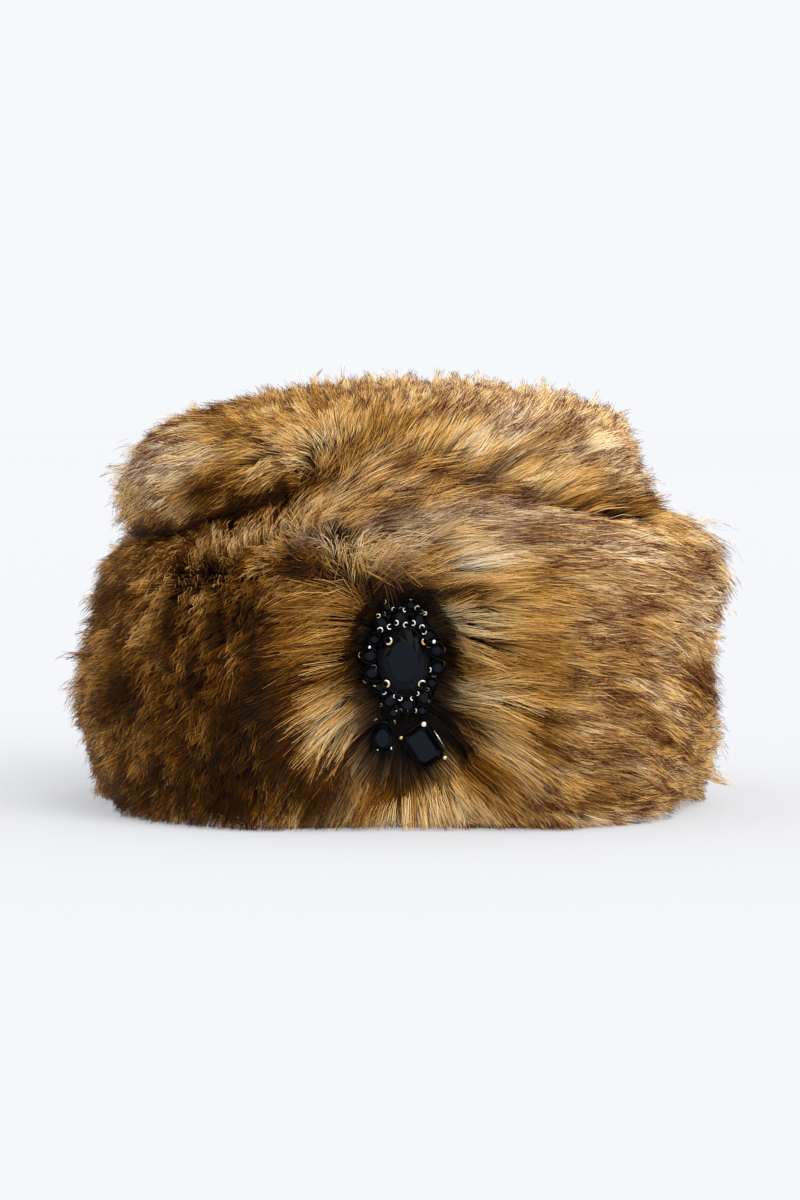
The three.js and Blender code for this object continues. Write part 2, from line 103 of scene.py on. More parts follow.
# How the fur lies, as charted. x and y are a place in the photograph. angle is the way that the hairs
# point there, as seen facing the surface: 0 to the viewer's right and 90 up. sweep is how far they run along
# the surface and proud how far their tips stand past the outer form, both in mm.
COMB = [
    # x, y, angle, sweep, proud
    (146, 424, 150, 13, 4),
    (200, 425, 178, 24, 1),
    (262, 392, 125, 12, 4),
    (300, 405, 112, 13, 3),
    (363, 384, 97, 11, 4),
    (353, 425, 78, 16, 1),
    (330, 440, 108, 12, 2),
    (296, 424, 152, 14, 2),
    (300, 450, 172, 11, 2),
    (419, 376, 92, 10, 4),
    (457, 416, 62, 20, 2),
    (524, 388, 80, 11, 3),
    (598, 405, 72, 12, 2),
    (569, 438, 40, 24, 2),
    (435, 438, 52, 27, 2),
    (490, 456, 40, 30, 2),
    (631, 440, 34, 17, 3),
    (642, 466, -12, 24, 3),
    (652, 484, -24, 22, 3),
    (591, 460, 22, 27, 2),
    (580, 478, 12, 30, 2),
    (613, 486, 4, 27, 2),
    (352, 456, 44, 20, 2),
    (325, 468, 76, 9, 1),
    (297, 471, 192, 9, 1),
    (280, 480, 206, 10, 1),
    (262, 466, 208, 20, 2),
    (240, 446, 198, 27, 2),
    (190, 466, 210, 22, 2),
    (130, 470, 190, 14, 3),
    (115, 500, 200, 12, 3),
    (170, 498, 216, 13, 2),
    (250, 488, 214, 8, 1),
    (225, 468, 206, 18, 2),
    (342, 494, 20, 27, 1),
    (300, 512, 30, 18, 1),
    (250, 530, 28, 10, 1),
    (200, 538, 10, 8, 2),
    (400, 505, 12, 30, 1),
    (435, 540, 10, 30, 1),
    (502, 539, 4, 30, 1),
    (591, 540, -1, 30, 1),
    (668, 496, 4, 24, 3),
    (640, 532, -14, 27, 2),
    (703, 542, -38, 14, 4),
    (722, 574, -35, 12, 4),
    (680, 583, -9, 27, 2),
    (513, 572, 2, 30, 1),
    (412, 556, 22, 27, 1),
    (374, 562, 32, 20, 1),
    (400, 580, 24, 20, 1),
    (372, 585, 40, 16, 1),
    (430, 582, 14, 26, 1),
    (457, 625, -10, 34, 1),
    (457, 668, -24, 34, 1),
    (524, 635, -5, 30, 1),
    (569, 650, -8, 27, 1),
    (636, 646, -17, 27, 2),
    (680, 668, -36, 24, 2),
    (716, 657, -38, 12, 3),
    (703, 623, -24, 14, 3),
    (722, 702, -30, 12, 3),
    (460, 697, 0, 34, 1),
    (502, 704, -5, 30, 1),
    (457, 719, -14, 32, 1),
    (479, 746, -36, 30, 1),
    (569, 724, -10, 27, 1),
    (636, 713, -28, 24, 2),
    (658, 746, -20, 24, 2),
    (703, 757, -12, 14, 3),
    (712, 785, 0, 13, 4),
    (636, 802, -6, 20, 2),
    (591, 791, -18, 24, 1),
    (524, 802, -32, 20, 1),
    (490, 782, -42, 24, 1),
    (457, 770, -50, 30, 1),
    (446, 795, -66, 27, 1),
    (412, 791, -82, 20, 1),
    (430, 815, -75, 12, 1),
    (400, 816, -80, 12, 1),
    (374, 785, -110, 24, 1),
    (342, 796, -120, 24, 1),
    (342, 731, -136, 30, 1),
    (330, 690, -142, 30, 1),
    (330, 640, -158, 30, 2),
    (345, 600, -165, 20, 2),
    (277, 720, -130, 13, 2),
    (277, 677, -142, 11, 2),
    (290, 620, -150, 8, 3),
    (300, 560, -160, 7, 3),
    (250, 560, -120, 7, 3),
    (230, 590, -80, 7, 3),
    (244, 753, -115, 11, 2),
    (266, 800, -110, 11, 1),
    (212, 774, -95, 10, 2),
    (190, 677, -95, 10, 2),
    (147, 720, -110, 10, 2),
    (147, 633, -115, 10, 2),
    (168, 551, -95, 10, 2),
    (147, 585, -115, 10, 2),
    (104, 556, 195, 13, 4),
    (84, 660, 200, 14, 4),
    (112, 655, 215, 11, 3),
    (82, 731, 208, 11, 3),
    (100, 765, 226, 9, 1),
    (92, 795, 225, 7, 1),
    (125, 802, 225, 10, 2),
    (180, 812, 250, 10, 1),
]

# How the fur lies where the photograph doesn't reach, as seen facing that side of the hat. azimuth is from
# the front, + to the viewer's right.
HIDDEN_COMB = [
    # azimuth, height in mm, angle, sweep, proud
    (90, 95, -22, 20, 2),
    (90, 50, -30, 20, 2),
    (90, 15, -40, 16, 1),
    (135, 90, -30, 22, 2),
    (135, 40, -42, 20, 2),
    (180, 95, -75, 20, 2),
    (180, 50, -80, 20, 2),
    (180, 15, -85, 16, 1),
    (-135, 90, 215, 20, 2),
    (-135, 40, 225, 18, 2),
    (-90, 95, 205, 16, 2),
    (-90, 50, 212, 16, 2),
    (-90, 15, 225, 14, 1),
    (90, 135, 10, 20, 2),
    (135, 138, -20, 22, 2),
    (180, 138, -80, 22, 2),
    (-135, 138, 205, 20, 2),
    (-90, 135, 185, 18, 3),
    (0, 165, 90, 20, 2),
    (60, 163, 30, 20, 2),
    (-60, 163, 150, 20, 2),
    (120, 163, -30, 20, 2),
    (-120, 163, 210, 20, 2),
    (180, 163, -90, 20, 2),
]
COMB_REACH, COMB_SOFTNESS, COMB_POWER = 13 * MM, 0.08, 2.2
CROWN_FROM, TOP_FROM = 120, 150
BESIDE_HAT, OVER_HAT = 0.3, 0.02

# Hairs run straight out from the brooch at an oval of knots in the photograph, except within some degrees
# of straight under and straight over it.
HALO_WIDE, HALO_TALL, HALO_KNOTS = 50, 78, 22
HALO_UNDER, HALO_OVER = 40, 38
HALO_SWEEP, HALO_PROUD = 32, 0.5

# Patches of tone, as charted: middle, half length and half width in the photograph, the way each lies,
# how much paler (+) or darker (-) its hairs are than the rest, and how many more of them are greyish. The
# tone is partly the fur's own colour and partly painted shade, in the crease under the crown, in the dent
# round the brooch, in gaps between locks and on the darker left side, and painted highlights on the hair.
FUR_TONE_SHADE_AND_HIGHLIGHT_PATCHES = [
    # x, y, long, wide, angle, tone, grey
    (165, 700, 112, 170, 0, -0.46, 0),
    (255, 600, 40, 60, 0, -0.20, 0),
    (240, 770, 60, 60, 0, -0.16, 0),
    (150, 440, 60, 34, 10, 0.16, 0),
    (140, 490, 50, 20, 60, 0.04, 0),
    (340, 425, 60, 26, 0, -0.06, -0.1),
    (225, 425, 50, 16, -25, -0.16, 0),
    (262, 400, 60, 10, 20, -0.08, 0),
    (210, 480, 60, 12, 25, -0.34, 0.1),
    (270, 480, 46, 12, 20, -0.24, -0.1),
    (235, 508, 110, 16, 15, -0.50, 0.1),
    (140, 524, 70, 14, 5, -0.42, 0.1),
    (190, 550, 50, 14, 0, -0.02, 0),
    (345, 465, 70, 10, 35, -0.12, 0),
    (320, 464, 44, 14, 34, -0.12, 0),
    (425, 474, 60, 22, 25, -0.24, 0.1),
    (370, 436, 50, 22, 30, -0.14, 0),
    (310, 396, 60, 10, 12, -0.22, 0),
    (430, 490, 80, 8, 15, -0.14, 0.3),
    (492, 470, 50, 12, 25, -0.20, 0.4),
    (585, 440, 50, 26, 20, 0.12, 0),
    (525, 450, 45, 10, 10, -0.20, 0.3),
    (560, 502, 80, 10, -4, -0.38, 0.2),
    (640, 508, 60, 9, -12, -0.24, 0),
    (650, 480, 50, 20, 10, 0.20, 0.1),
    (330, 500, 60, 12, 12, 0.02, 0.3),
    (400, 520, 110, 10, 12, -0.10, 0.6),
    (380, 560, 60, 12, 20, -0.02, 0.3),
    (490, 515, 60, 14, 5, 0.14, 0.2),
    (480, 560, 90, 16, 4, 0.14, 0.1),
    (560, 540, 90, 16, 0, 0.02, 0.1),
    (620, 555, 40, 16, 0, 0.10, 0.1),
    (660, 545, 50, 14, -20, -0.08, 0),
    (408, 586, 46, 13, -6, -0.46, 0.6),
    (370, 606, 14, 34, 0, -0.40, 0.5),
    (350, 655, 17, 52, 0, -0.56, 0.1),
    (348, 705, 20, 24, 0, -0.36, 0.2),
    (304, 568, 28, 18, 0, -0.42, 0),
    (480, 705, 26, 14, -6, 0.16, 0),
    (480, 624, 22, 16, 0, 0.10, 0),
    (472, 560, 34, 18, 6, 0.14, 0),
    (445, 722, 20, 14, -30, -0.30, 0.3),
    (422, 768, 26, 14, -60, -0.46, 0.4),
    (395, 762, 20, 16, 0, -0.22, 0.4),
    (322, 782, 24, 30, 20, -0.44, 0),
    (380, 800, 36, 12, 10, -0.18, 0),
    (448, 664, 18, 30, 0, -0.16, 0.2),
    (470, 592, 30, 7, -8, -0.16, 0),
    (500, 612, 40, 16, -4, 0.06, -0.1),
    (530, 674, 26, 88, 0, -0.26, 0),
    (482, 768, 40, 20, -35, -0.42, 0),
    (458, 744, 34, 16, -40, -0.34, 0.2),
    (400, 786, 64, 14, 0, -0.36, 0.1),
    (376, 804, 34, 14, 20, -0.22, 0),
    (330, 726, 40, 18, 45, 0.34, 0),
    (352, 786, 18, 14, 60, 0.18, 0),
    (325, 586, 22, 14, 0, -0.16, 0),
    (450, 618, 20, 18, 0, 0.20, 0),
    (474, 655, 26, 22, 0, -0.16, 0),
    (464, 720, 24, 16, -10, -0.36, 0),
    (410, 562, 34, 12, 12, -0.16, 0),
    (452, 586, 32, 10, -6, -0.26, 0.1),
    (262, 500, 42, 18, 22, -0.22, 0),
    (372, 515, 46, 14, 12, -0.15, 0),
    (560, 470, 50, 12, 10, -0.16, 0),
    (610, 462, 30, 14, 10, 0.16, 0),
    (284, 706, 20, 50, 0, -0.38, 0),
    (284, 602, 24, 44, 0, 0.12, 0),
    (125, 600, 16, 50, 0, -0.14, 0),
    (92, 765, 18, 34, 0, -0.20, 0),
    (200, 456, 110, 60, 0, -0.02, -0.15),
    (520, 745, 30, 16, 0, -0.08, 0),
    (640, 420, 40, 30, 0, -0.12, 0),
    (208, 466, 34, 12, 20, 0.28, 0),
    (225, 440, 34, 12, 0, -0.12, 0),
    (170, 506, 34, 14, 0, 0.24, 0),
    (258, 508, 26, 20, 0, -0.30, 0),
    (140, 474, 34, 16, 0, 0.20, 0),
    (262, 745, 20, 24, 0, 0.16, 0),
    (296, 790, 44, 16, 0, 0.14, 0),
    (535, 792, 26, 16, 0, 0.12, 0),
    (215, 596, 26, 20, 0, 0.12, 0),
    (338, 632, 14, 22, 0, 0.14, 0),
    (256, 552, 30, 16, 0, 0.14, 0),
    (329, 734, 13, 26, 0, 0.10, 0),
    (305, 746, 12, 26, 0, -0.30, 0),
    (410, 806, 28, 12, 0, -0.26, -0.2),
    (490, 532, 110, 26, 4, -0.02, 0.30),
    (360, 528, 60, 16, 14, 0, 0.3),
    (640, 745, 30, 20, 0, -0.12, 0),
    (530, 736, 30, 30, 0, -0.26, 0),
    (590, 790, 60, 16, 0, -0.15, 0),
    (130, 700, 40, 24, 0, -0.12, 0),
    (696, 555, 18, 18, 0, 0.14, 0),
    (490, 440, 64, 18, 22, 0.20, 0),
    (625, 640, 18, 70, 0, -0.05, 0),
    (505, 700, 40, 16, -5, 0.10, 0),
    (448, 660, 14, 50, 0, -0.10, 0.2),
    (440, 700, 26, 12, 0, -0.24, 0.5),
    (448, 738, 28, 14, -30, -0.32, 0.7),
    (505, 735, 30, 20, -20, 0.14, 0),
    (690, 680, 44, 18, -40, -0.24, 0),
    (650, 730, 60, 9, -42, -0.20, 0),
    (690, 610, 30, 20, -20, 0.10, 0),
    (660, 655, 30, 16, -35, 0.12, 0),
    (590, 800, 120, 12, 4, -0.14, 0),
    (400, 755, 34, 22, 0, -0.36, 0.8),
    (430, 812, 70, 14, 6, 0.20, -0.1),
    (376, 735, 22, 24, 50, -0.34, 0.7),
    (345, 735, 50, 14, 45, 0.16, 0.1),
    (325, 700, 40, 16, 40, 0.14, 0),
    (318, 625, 26, 50, 0, -0.10, -0.1),
    (280, 690, 34, 90, 0, -0.22, 0),
    (240, 690, 26, 120, 0, -0.15, 0),
    (306, 660, 40, 90, 0, -0.20, 0),
    (322, 765, 36, 50, 0, -0.30, 0),
    (110, 800, 90, 22, 0, -0.16, 0),
    (270, 790, 40, 40, 0, -0.20, 0),
    (420, 740, 60, 20, 0, -0.12, 0.2),
    (500, 640, 40, 100, 0, -0.08, 0),
    (300, 410, 130, 26, 8, -0.10, 0),
    (560, 690, 70, 90, 0, -0.07, 0),
    (700, 675, 24, 30, 0, -0.20, 0),
    (410, 560, 50, 14, 12, -0.14, 0.2),
    (350, 790, 50, 12, 60, -0.10, 0.5),
    (176, 622, 9, 32, 0, -0.42, 0),
    (198, 675, 10, 28, 0, -0.42, 0),
    (220, 625, 9, 24, 0, -0.42, 0),
    (212, 575, 9, 14, 0, -0.30, 0),
    (250, 560, 14, 10, 0, -0.30, 0),
    (240, 720, 8, 26, 0, -0.30, 0),
    (130, 690, 8, 26, 20, -0.22, 0),
    (160, 760, 8, 28, 10, -0.22, 0),
    (205, 740, 10, 26, 0, 0.20, 0),
    (185, 650, 6, 26, 0, 0.24, 0),
    (232, 660, 7, 24, 10, 0.22, 0),
    (160, 590, 12, 20, 0, 0.18, 0),
    (222, 790, 26, 40, 0, -0.20, 0),
    (185, 546, 20, 12, 0, 0.12, 0),
    (218, 548, 22, 14, 0, 0.10, 0),
    (300, 548, 44, 26, 0, -0.22, 0.2),
    (330, 548, 18, 14, 0, 0.16, 0),
    (90, 660, 18, 26, 0, 0.08, 0),
    (100, 600, 20, 30, 0, -0.10, 0),
    (148, 628, 10, 18, -20, 0.20, 0),
    (140, 740, 20, 30, 20, 0.08, 0),
    (112, 740, 16, 20, 0, 0.08, 0),
]
BASE_TONE, BASE_GREY = 0.66, 0.06
TONE_NOISE, BROAD_WAVE, FINE_WAVE = 0.05, 45 * MM, 13 * MM
GREY_NOISE, GREY_WAVE = 0.13, 22 * MM
PATCH_EDGE = 1.5
FRONT_FADE = (20 * MM, -30 * MM)

# Tangled places, where the hairs lie anyhow
TANGLES = [
    # x, y, long, wide, angle, rough
    (310, 470, 40, 22, 30, 0.9),
    (350, 562, 50, 24, 30, 0.9),
    (300, 556, 34, 24, 0, 0.7),
    (225, 560, 70, 26, 0, 0.5),
    (190, 690, 90, 120, 0, 0.45),
]

# The brooch: the scale of the photograph at it and its plate, stones and claws. Lengths are in mm, with x to
# the viewer's right and y up from its middle, and out from the back of its plate.
BROOCH_SCALE = 0.3685 * MM
BROOCH_LEVEL = 661.5
BROOCH_BACK = -111.3 * MM
BROOCH_TILT = 4.5
PLATE = (26.4, 39)
PLATE_SECTION = [(-3, 0), (0, 0), (0.3, 0.3), (0.3, 1), (-3, 1)]
CUP_WALL, CUP_INSIDE, CUP_LIP = 0.65, -0.3, 0.12
LIP_DROP, INNER_DROP = 0.1, 1.2
FLOOR_TOP, FLOOR_EDGE = 0.9, -0.1
EYE_RADIUS, EYE_HEIGHT, LINK_DEPTH, WIRE = 0.95, 2.1, 1.3, 0.3
WIRE_SIDES, LINK_STEPS = 8, 24
LEAST_STEPS, RING_STEP, TAPER = 6, 15, 0.4
ON_EDGE = Matrix.Rotation(math.pi / 2, 3, "Z")
MIDDLE_STONES = [
    # y, wide, tall, seat, turn
    (0, 18, 25, 4.4, 0),
    (16.5, 4.8, 5.8, 3.1, 0),
    (-16.2, 4.8, 5.4, 3.1, 0),
]
PAIRED_STONES = [
    # x, y, wide, tall, seat, turn
    (6.8, 14.8, 4.6, 6.0, 3.1, -24),
    (6.4, -14.2, 4.6, 5.8, 3.1, 24),
    (4.3, 20.5, 3.9, 3.9, 2.9, 0),
    (5.4, -18.8, 3.8, 3.8, 2.9, 0),
    (10.2, 8.9, 4.0, 4.0, 3.0, 0),
    (12.5, 3.0, 5.2, 5.2, 3.2, 0),
    (12.3, -3.4, 5.2, 5.2, 3.2, 0),
    (9.6, -8.9, 4.0, 4.0, 3.0, 0),
]
EYES = [(-9.6, -16.1), (0.4, -20.2)]
DROPS = [
    # side, x, y, wide, tall, turn, corner
    ("left", -10.1, -27.7, 7.8, 11, -4.5, 0),
    ("right", 4.5, -31.9, 10, 14, 29, 1.5),
]
DROP_SEAT = 3.4
# Tones of the metal's map: the blackened metal, and painted highlights on claws and beads from dull to
# silver.
DARK, DULL_HIGHLIGHT, GOLD_HIGHLIGHT, CREAM_HIGHLIGHT, SILVER_HIGHLIGHT = 0.1, 0.3, 0.5, 0.7, 0.9
METAL_AND_HIGHLIGHT_TONES = [
    (0.10, (20, 20, 22)),
    (0.30, (122, 112, 96)),
    (0.50, (214, 176, 118)),
    (0.70, (244, 222, 184)),
    (0.90, (250, 248, 244)),
]
# Painted reflections on the stones' facets, by how far each faces up: black facing down, blue-grey facing the
# side and front, black facing up.
STONE_FACET_REFLECTIONS = [
    (0.24, (5, 4, 4)),
    (0.30, (18, 19, 24)),
    (0.44, (22, 24, 31)),
    (0.55, (22, 24, 31)),
    (0.59, (3, 3, 4)),
    (1.00, (5, 5, 7)),
]

# The rolled ends of the claws, charted in the photograph: their middle and width there, the middle
# and length in degrees of the side that shines, how thick it is and how far out it stands in mm, and its
# tone. The side that shines is a painted highlight: an arc in that tone in front of a dark ring.
CLAWS = [
    # x, y, wide, middle, span, thick, out, tone
    (383.8, 601.9, 5.6, -10, 150, 0.22, 4.0, GOLD_HIGHLIGHT),
    (393.8, 609.4, 5.0, 150, 150, 0.22, 4.2, SILVER_HIGHLIGHT),
    (400.6, 609.4, 4.8, 90, 200, 0.18, 4.0, DULL_HIGHLIGHT),
    (405.0, 610.0, 5.0, 200, 210, 0.24, 4.2, SILVER_HIGHLIGHT),
    (411.2, 598.1, 4.8, 250, 110, 0.20, 4.0, GOLD_HIGHLIGHT),
    (417.5, 608.8, 6.4, 120, 170, 0.22, 4.2, SILVER_HIGHLIGHT),
    (421.2, 611.9, 5.0, -30, 250, 0.18, 4.0, DULL_HIGHLIGHT),
    (425.0, 613.5, 4.4, 0, 300, 0.24, 4.2, SILVER_HIGHLIGHT),
    (378.1, 616.0, 5.2, 20, 300, 0.24, 4.2, CREAM_HIGHLIGHT),
    (383.5, 614.0, 5.0, 0, 180, 0.20, 4.0, DULL_HIGHLIGHT),
    (380.0, 630.3, 6.8, 60, 230, 0.30, 4.6, SILVER_HIGHLIGHT),
    (389.8, 626.9, 6.4, 190, 230, 0.30, 4.6, SILVER_HIGHLIGHT),
    (395.9, 622.9, 6.4, 0, 240, 0.32, 4.6, SILVER_HIGHLIGHT),
    (405.9, 625.0, 6.4, 150, 230, 0.30, 4.6, SILVER_HIGHLIGHT),
    (412.8, 623.1, 6.4, -10, 240, 0.32, 4.6, SILVER_HIGHLIGHT),
    (422.1, 627.5, 6.4, 100, 220, 0.30, 4.6, SILVER_HIGHLIGHT),
    (424.0, 631.9, 6.0, -60, 180, 0.24, 4.6, SILVER_HIGHLIGHT),
    (388.1, 640.6, 9.6, -30, 200, 0.52, 6.7, CREAM_HIGHLIGHT),
    (425.4, 641.2, 9.0, 195, 150, 0.48, 6.7, GOLD_HIGHLIGHT),
    (385.6, 683.8, 9.6, 20, 190, 0.52, 6.7, CREAM_HIGHLIGHT),
    (422.5, 684.4, 9.6, 125, 180, 0.40, 6.7, CREAM_HIGHLIGHT),
    (428.8, 670.0, 6.0, 0, 150, 0.24, 5.0, SILVER_HIGHLIGHT),
    (383.8, 692.5, 5.6, -60, 160, 0.26, 4.4, SILVER_HIGHLIGHT),
    (395.6, 696.9, 5.4, 180, 130, 0.26, 4.4, SILVER_HIGHLIGHT),
    (400.2, 699.0, 5.2, -50, 220, 0.30, 4.4, SILVER_HIGHLIGHT),
    (412.5, 698.8, 5.0, 200, 180, 0.26, 4.4, SILVER_HIGHLIGHT),
    (416.9, 693.8, 5.6, -10, 180, 0.30, 4.4, SILVER_HIGHLIGHT),
    (380.6, 705.6, 3.8, 0, 300, 0.18, 4.0, DULL_HIGHLIGHT),
    (394.4, 710.0, 6.2, -90, 150, 0.24, 4.0, SILVER_HIGHLIGHT),
    (400.6, 711.2, 4.2, 60, 160, 0.18, 4.0, DULL_HIGHLIGHT),
    (410.0, 711.2, 5.6, 150, 140, 0.20, 4.0, DULL_HIGHLIGHT),
    (414.4, 711.2, 5.6, 0, 140, 0.22, 4.0, CREAM_HIGHLIGHT),
    (427.5, 689.8, 4.2, 0, 300, 0.20, 4.0, DULL_HIGHLIGHT),
    (428.5, 701.9, 3.2, 0, 300, 0.16, 4.0, DULL_HIGHLIGHT),
    (361.6, 655.6, 7.0, 180, 120, 0.16, 3.6, GOLD_HIGHLIGHT),
    (373.8, 668.1, 6.2, 40, 230, 0.14, 4.2, DULL_HIGHLIGHT),
    (375.0, 683.8, 6.2, -90, 100, 0.14, 4.0, CREAM_HIGHLIGHT),
    (366.2, 680.0, 7.4, -130, 90, 0.14, 3.8, DULL_HIGHLIGHT),
    (442.0, 650.0, 7.4, 0, 110, 0.14, 3.8, DULL_HIGHLIGHT),
    (442.0, 663.8, 6.2, 0, 110, 0.14, 3.8, DULL_HIGHLIGHT),
    (434.0, 674.4, 6.2, -90, 110, 0.14, 3.8, DULL_HIGHLIGHT),
    (428.8, 645.0, 6.2, 200, 240, 0.14, 4.2, DULL_HIGHLIGHT),
    (376.2, 721.9, 6.2, 120, 130, 0.36, 4.2, DULL_HIGHLIGHT),
    (393.0, 723.0, 6.2, 20, 130, 0.36, 4.2, DULL_HIGHLIGHT),
    (375.8, 748.6, 7.6, 25, 190, 0.42, 4.2, SILVER_HIGHLIGHT),
    (393.0, 748.8, 5.6, 190, 90, 0.36, 4.2, SILVER_HIGHLIGHT),
]
# Beads, drawn as small rings in painted highlight tones.
BEADS = [
    # x, y, out, wide, tone
    (424.0, 724.8, 4.4, 6.0, SILVER_HIGHLIGHT),
    (401.0, 738.5, 4.0, 4.0, GOLD_HIGHLIGHT),
    (445.2, 758.5, 4.0, 4.6, CREAM_HIGHLIGHT),
    (434.0, 641.9, 4.2, 4.6, SILVER_HIGHLIGHT),
    (369.4, 647.5, 4.2, 3.6, SILVER_HIGHLIGHT),
]
BEAD_RING, BEAD_THICK = 0.22, 0.28
BEHIND = Vector((0, 0.25 * MM, 0))
# A painted glint along an edge: a thin wire in the silver highlight tone.
EDGE_GLINT = (434.2, 731.2), (444.6, 747.5)
GLINT_OUT, GLINT_THICK = 4.0 * MM, 0.18 * MM

# Hair colours of each family, from the darkest kind to the palest: at the root, half way up and at the tip
WARM_KINDS = [
    # tone, root, middle, tip
    (0.00, (9, 5, 0), (50, 25, 0), (18, 7, 0)),
    (0.25, (22, 12, 1), (126, 74, 2), (32, 12, 1)),
    (0.50, (46, 28, 15), (220, 164, 82), (66, 17, 7)),
    (0.75, (66, 46, 32), (245, 209, 144), (92, 27, 12)),
    (1.00, (84, 65, 50), (250, 239, 208), (126, 60, 36)),
]
GREY_KINDS = [
    (0.00, (16, 12, 10), (46, 31, 20), (20, 11, 8)),
    (0.25, (34, 25, 18), (98, 71, 45), (34, 18, 13)),
    (0.50, (54, 41, 31), (173, 136, 96), (60, 25, 19)),
    (0.75, (66, 52, 42), (232, 204, 164), (84, 38, 28)),
    (1.00, (84, 69, 56), (250, 239, 214), (114, 76, 57)),
]
FAMILY_EDGE, WARM_SHARE = 0.5, 0.99
ROOT_TO_MIDDLE = (0.10, 0.50)
MIDDLE_TO_TIP = (0.62, 0.78)

# Kinds of strand: how many, their widths in mm from root to tip, their share of the full reach, how far under
# the outer form they stay, how much of the dark tip they have, how far they follow their tuft, how far they
# stray and how much paler they are.
COATS = [
    # name, strands, widths, reach, drop, ripe, pull, stray, tone
    ("guard", 140000, (0.14, 0.19, 0.10), 1.15, 0.0, 1.0, 1.0, 0.06, 0.0),
    ("under", 150000, (0.32, 0.10), 0.84, 1.2 * MM, 0.60, 0.9, 0.09, 0.02),
    ("loose", 12000, (0.18, 0.18, 0.16, 0.08), 0.9, -1.0 * MM, 0.62, 0.0, 0.5, 0.0),
]

# Where strands stand: more of them in front, none under the brooch and few on the underside
TUFTS = 14000
FRONT_SHARE = 1.6
MEAN_REACH = 0.132
MEAN_RADIUS = 0.12
DENSEST = 3
LEAST_FACING = 0.15
HEM_ROOTS = 0.6 * MM
UNDERSIDE, LOWEST_UNDERSIDE = -0.6, 6 * MM
UNDER_BROOCH = 0.72

# How strands grow: their bend, how closely they hug the form, and how tufts and tangles pull them about
CURL = 2.6
HUGGING = 0.62
ALONG_FREE = 0.75
PULL_POWER = 1.3
SHORTEST = 0.35
PROUD_FADE = (1.0, 1.4)
TANGLED_VEER, TANGLED_STRAY = 2, 0.5
JITTER = 0.3 * MM
TWIST = 1.15
OWN_SHARE = 0.6

# How far tufts differ, by chance and in broad waves
TUFT_PULL = (0.25, 0.75)
TUFT_SIZE = (0.8, 1.15)
LEAST_RISE, TUFT_RISE = 0.25, (1.6, 0.5)
VEER_WAVES, VEER_LENGTH, TUFT_VEER = 0.16, 18 * MM, 0.07
MEAN_RIPE, RIPE_WAVES, RIPE_LENGTH, TUFT_RIPE = 0.98, 0.05, 16 * MM, 0.04
TUFT_TONE = 0.06

# How far strands differ by chance
LOOSE_FROM = (0.1, 1.6)
DEPTH_RANGE = (0.8, 1.0)
SWEEP_RANGE = (0.65, 1.15)
PROUD_RANGE = (0.5, 1.1)
RIPE_RANGE = (0.80, 1.10)
WIDTH_RANGE = (0.75, 1.25)
STRAND_TONE = 0.09
TONE_RANGE = (0.02, 0.98)

# The texture map: u holds a strand's tone and v runs from its root to its tip, less far beside the brooch
MAP_STEP = 0.004
ROOT_V, LENGTH_V, TOP_V = 0.02, 0.96, 0.99
HALO_RIPE = 0.6
HALO_EDGE = (1.3, 2.8)

# The knitted backing cloth: stitches round the hat and courses of stitches up it
WELD = 0.01 * MM
FLAT_ANGLE = math.radians(60)
RIM_ANGLE = math.radians(40)
RIM_CREASE = 0.8
ROUNDINGS = 2
RUMPLE, RUMPLE_LENGTH = 0.4 * MM, 35 * MM
STITCHES_ROUND = 400
COURSE = 1.5 * MM

# The studio: a pale floor that glows, an even surround and one broad light. Angles are in degrees.
FLOOR_HALF, FLOOR_GLOW = 30, 1.0
SURROUND = (0.925, 0.945, 0.975, 1)
LIGHT_COLOR = (1.0, 0.96, 0.90)
KEY_LIGHT = {"energy": 2.6, "size": 50, "azimuth": 30, "elevation": 38}


def linear(rgb):
    """An sRGB colour of 0 to 255 as linear RGBA."""
    share = [c / 255 for c in rgb]
    return [c / 12.92 if c <= 0.04045 else ((c + 0.055) / 1.055) ** 2.4 for c in share] + [1.0]


def unit(vectors):
    return vectors / np.maximum(np.linalg.norm(vectors, axis=-1, keepdims=True), 1e-9)


def smooth_step(low, high, value):
    share = np.clip((value - low) / (high - low), 0, 1)
    return share * share * (3 - 2 * share)


def waves(points, length, count=20):
    """Smooth noise of about -1 to 1 in space, as a sum of plane waves of about one wavelength."""
    ways = unit(random.normal(size=(count, 3))) * (2 * math.pi / length)
    ways *= random.uniform(*WAVE_SPREAD, (count, 1))
    phases = random.uniform(0, 2 * math.pi, count)
    return np.sin(points @ ways.T + phases).sum(1) / math.sqrt(count) * WAVE_SIZE


def link(obj):
    bpy.context.scene.collection.objects.link(obj)
    return obj


def photo_ray(x, y):
    pixel = Vector((x - PHOTO_WIDE / 2, PHOTO_TALL / 2 - y, -FOCAL_PIXELS))
    return CAMERA_TURN @ pixel.normalized()


def surface_tree(*names):
    """A tree to cast rays at, of the faces of some CAD nodes."""
    places, faces = [], []
    for name in names:
        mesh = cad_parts[name].data
        base = len(places)
        places += [v.co.copy() for v in mesh.vertices]
        faces += [[base + i for i in p.vertices] for p in mesh.polygons]
    return BVHTree.FromPolygons(places, faces)


AZIMUTH_STEPS = np.linspace(-math.pi, math.pi, AZIMUTHS, endpoint=False)
LEVEL_STEPS = np.linspace(LOWEST, HIGHEST, LEVELS)


def directions(azimuth, level):
    flat = np.cos(level)
    rise = np.sin(level) * np.ones_like(azimuth)
    return np.stack([flat * np.sin(azimuth), -flat * np.cos(azimuth), rise], -1)


WAYS = directions(AZIMUTH_STEPS[None, :], LEVEL_STEPS[:, None] * np.ones((1, AZIMUTHS)))


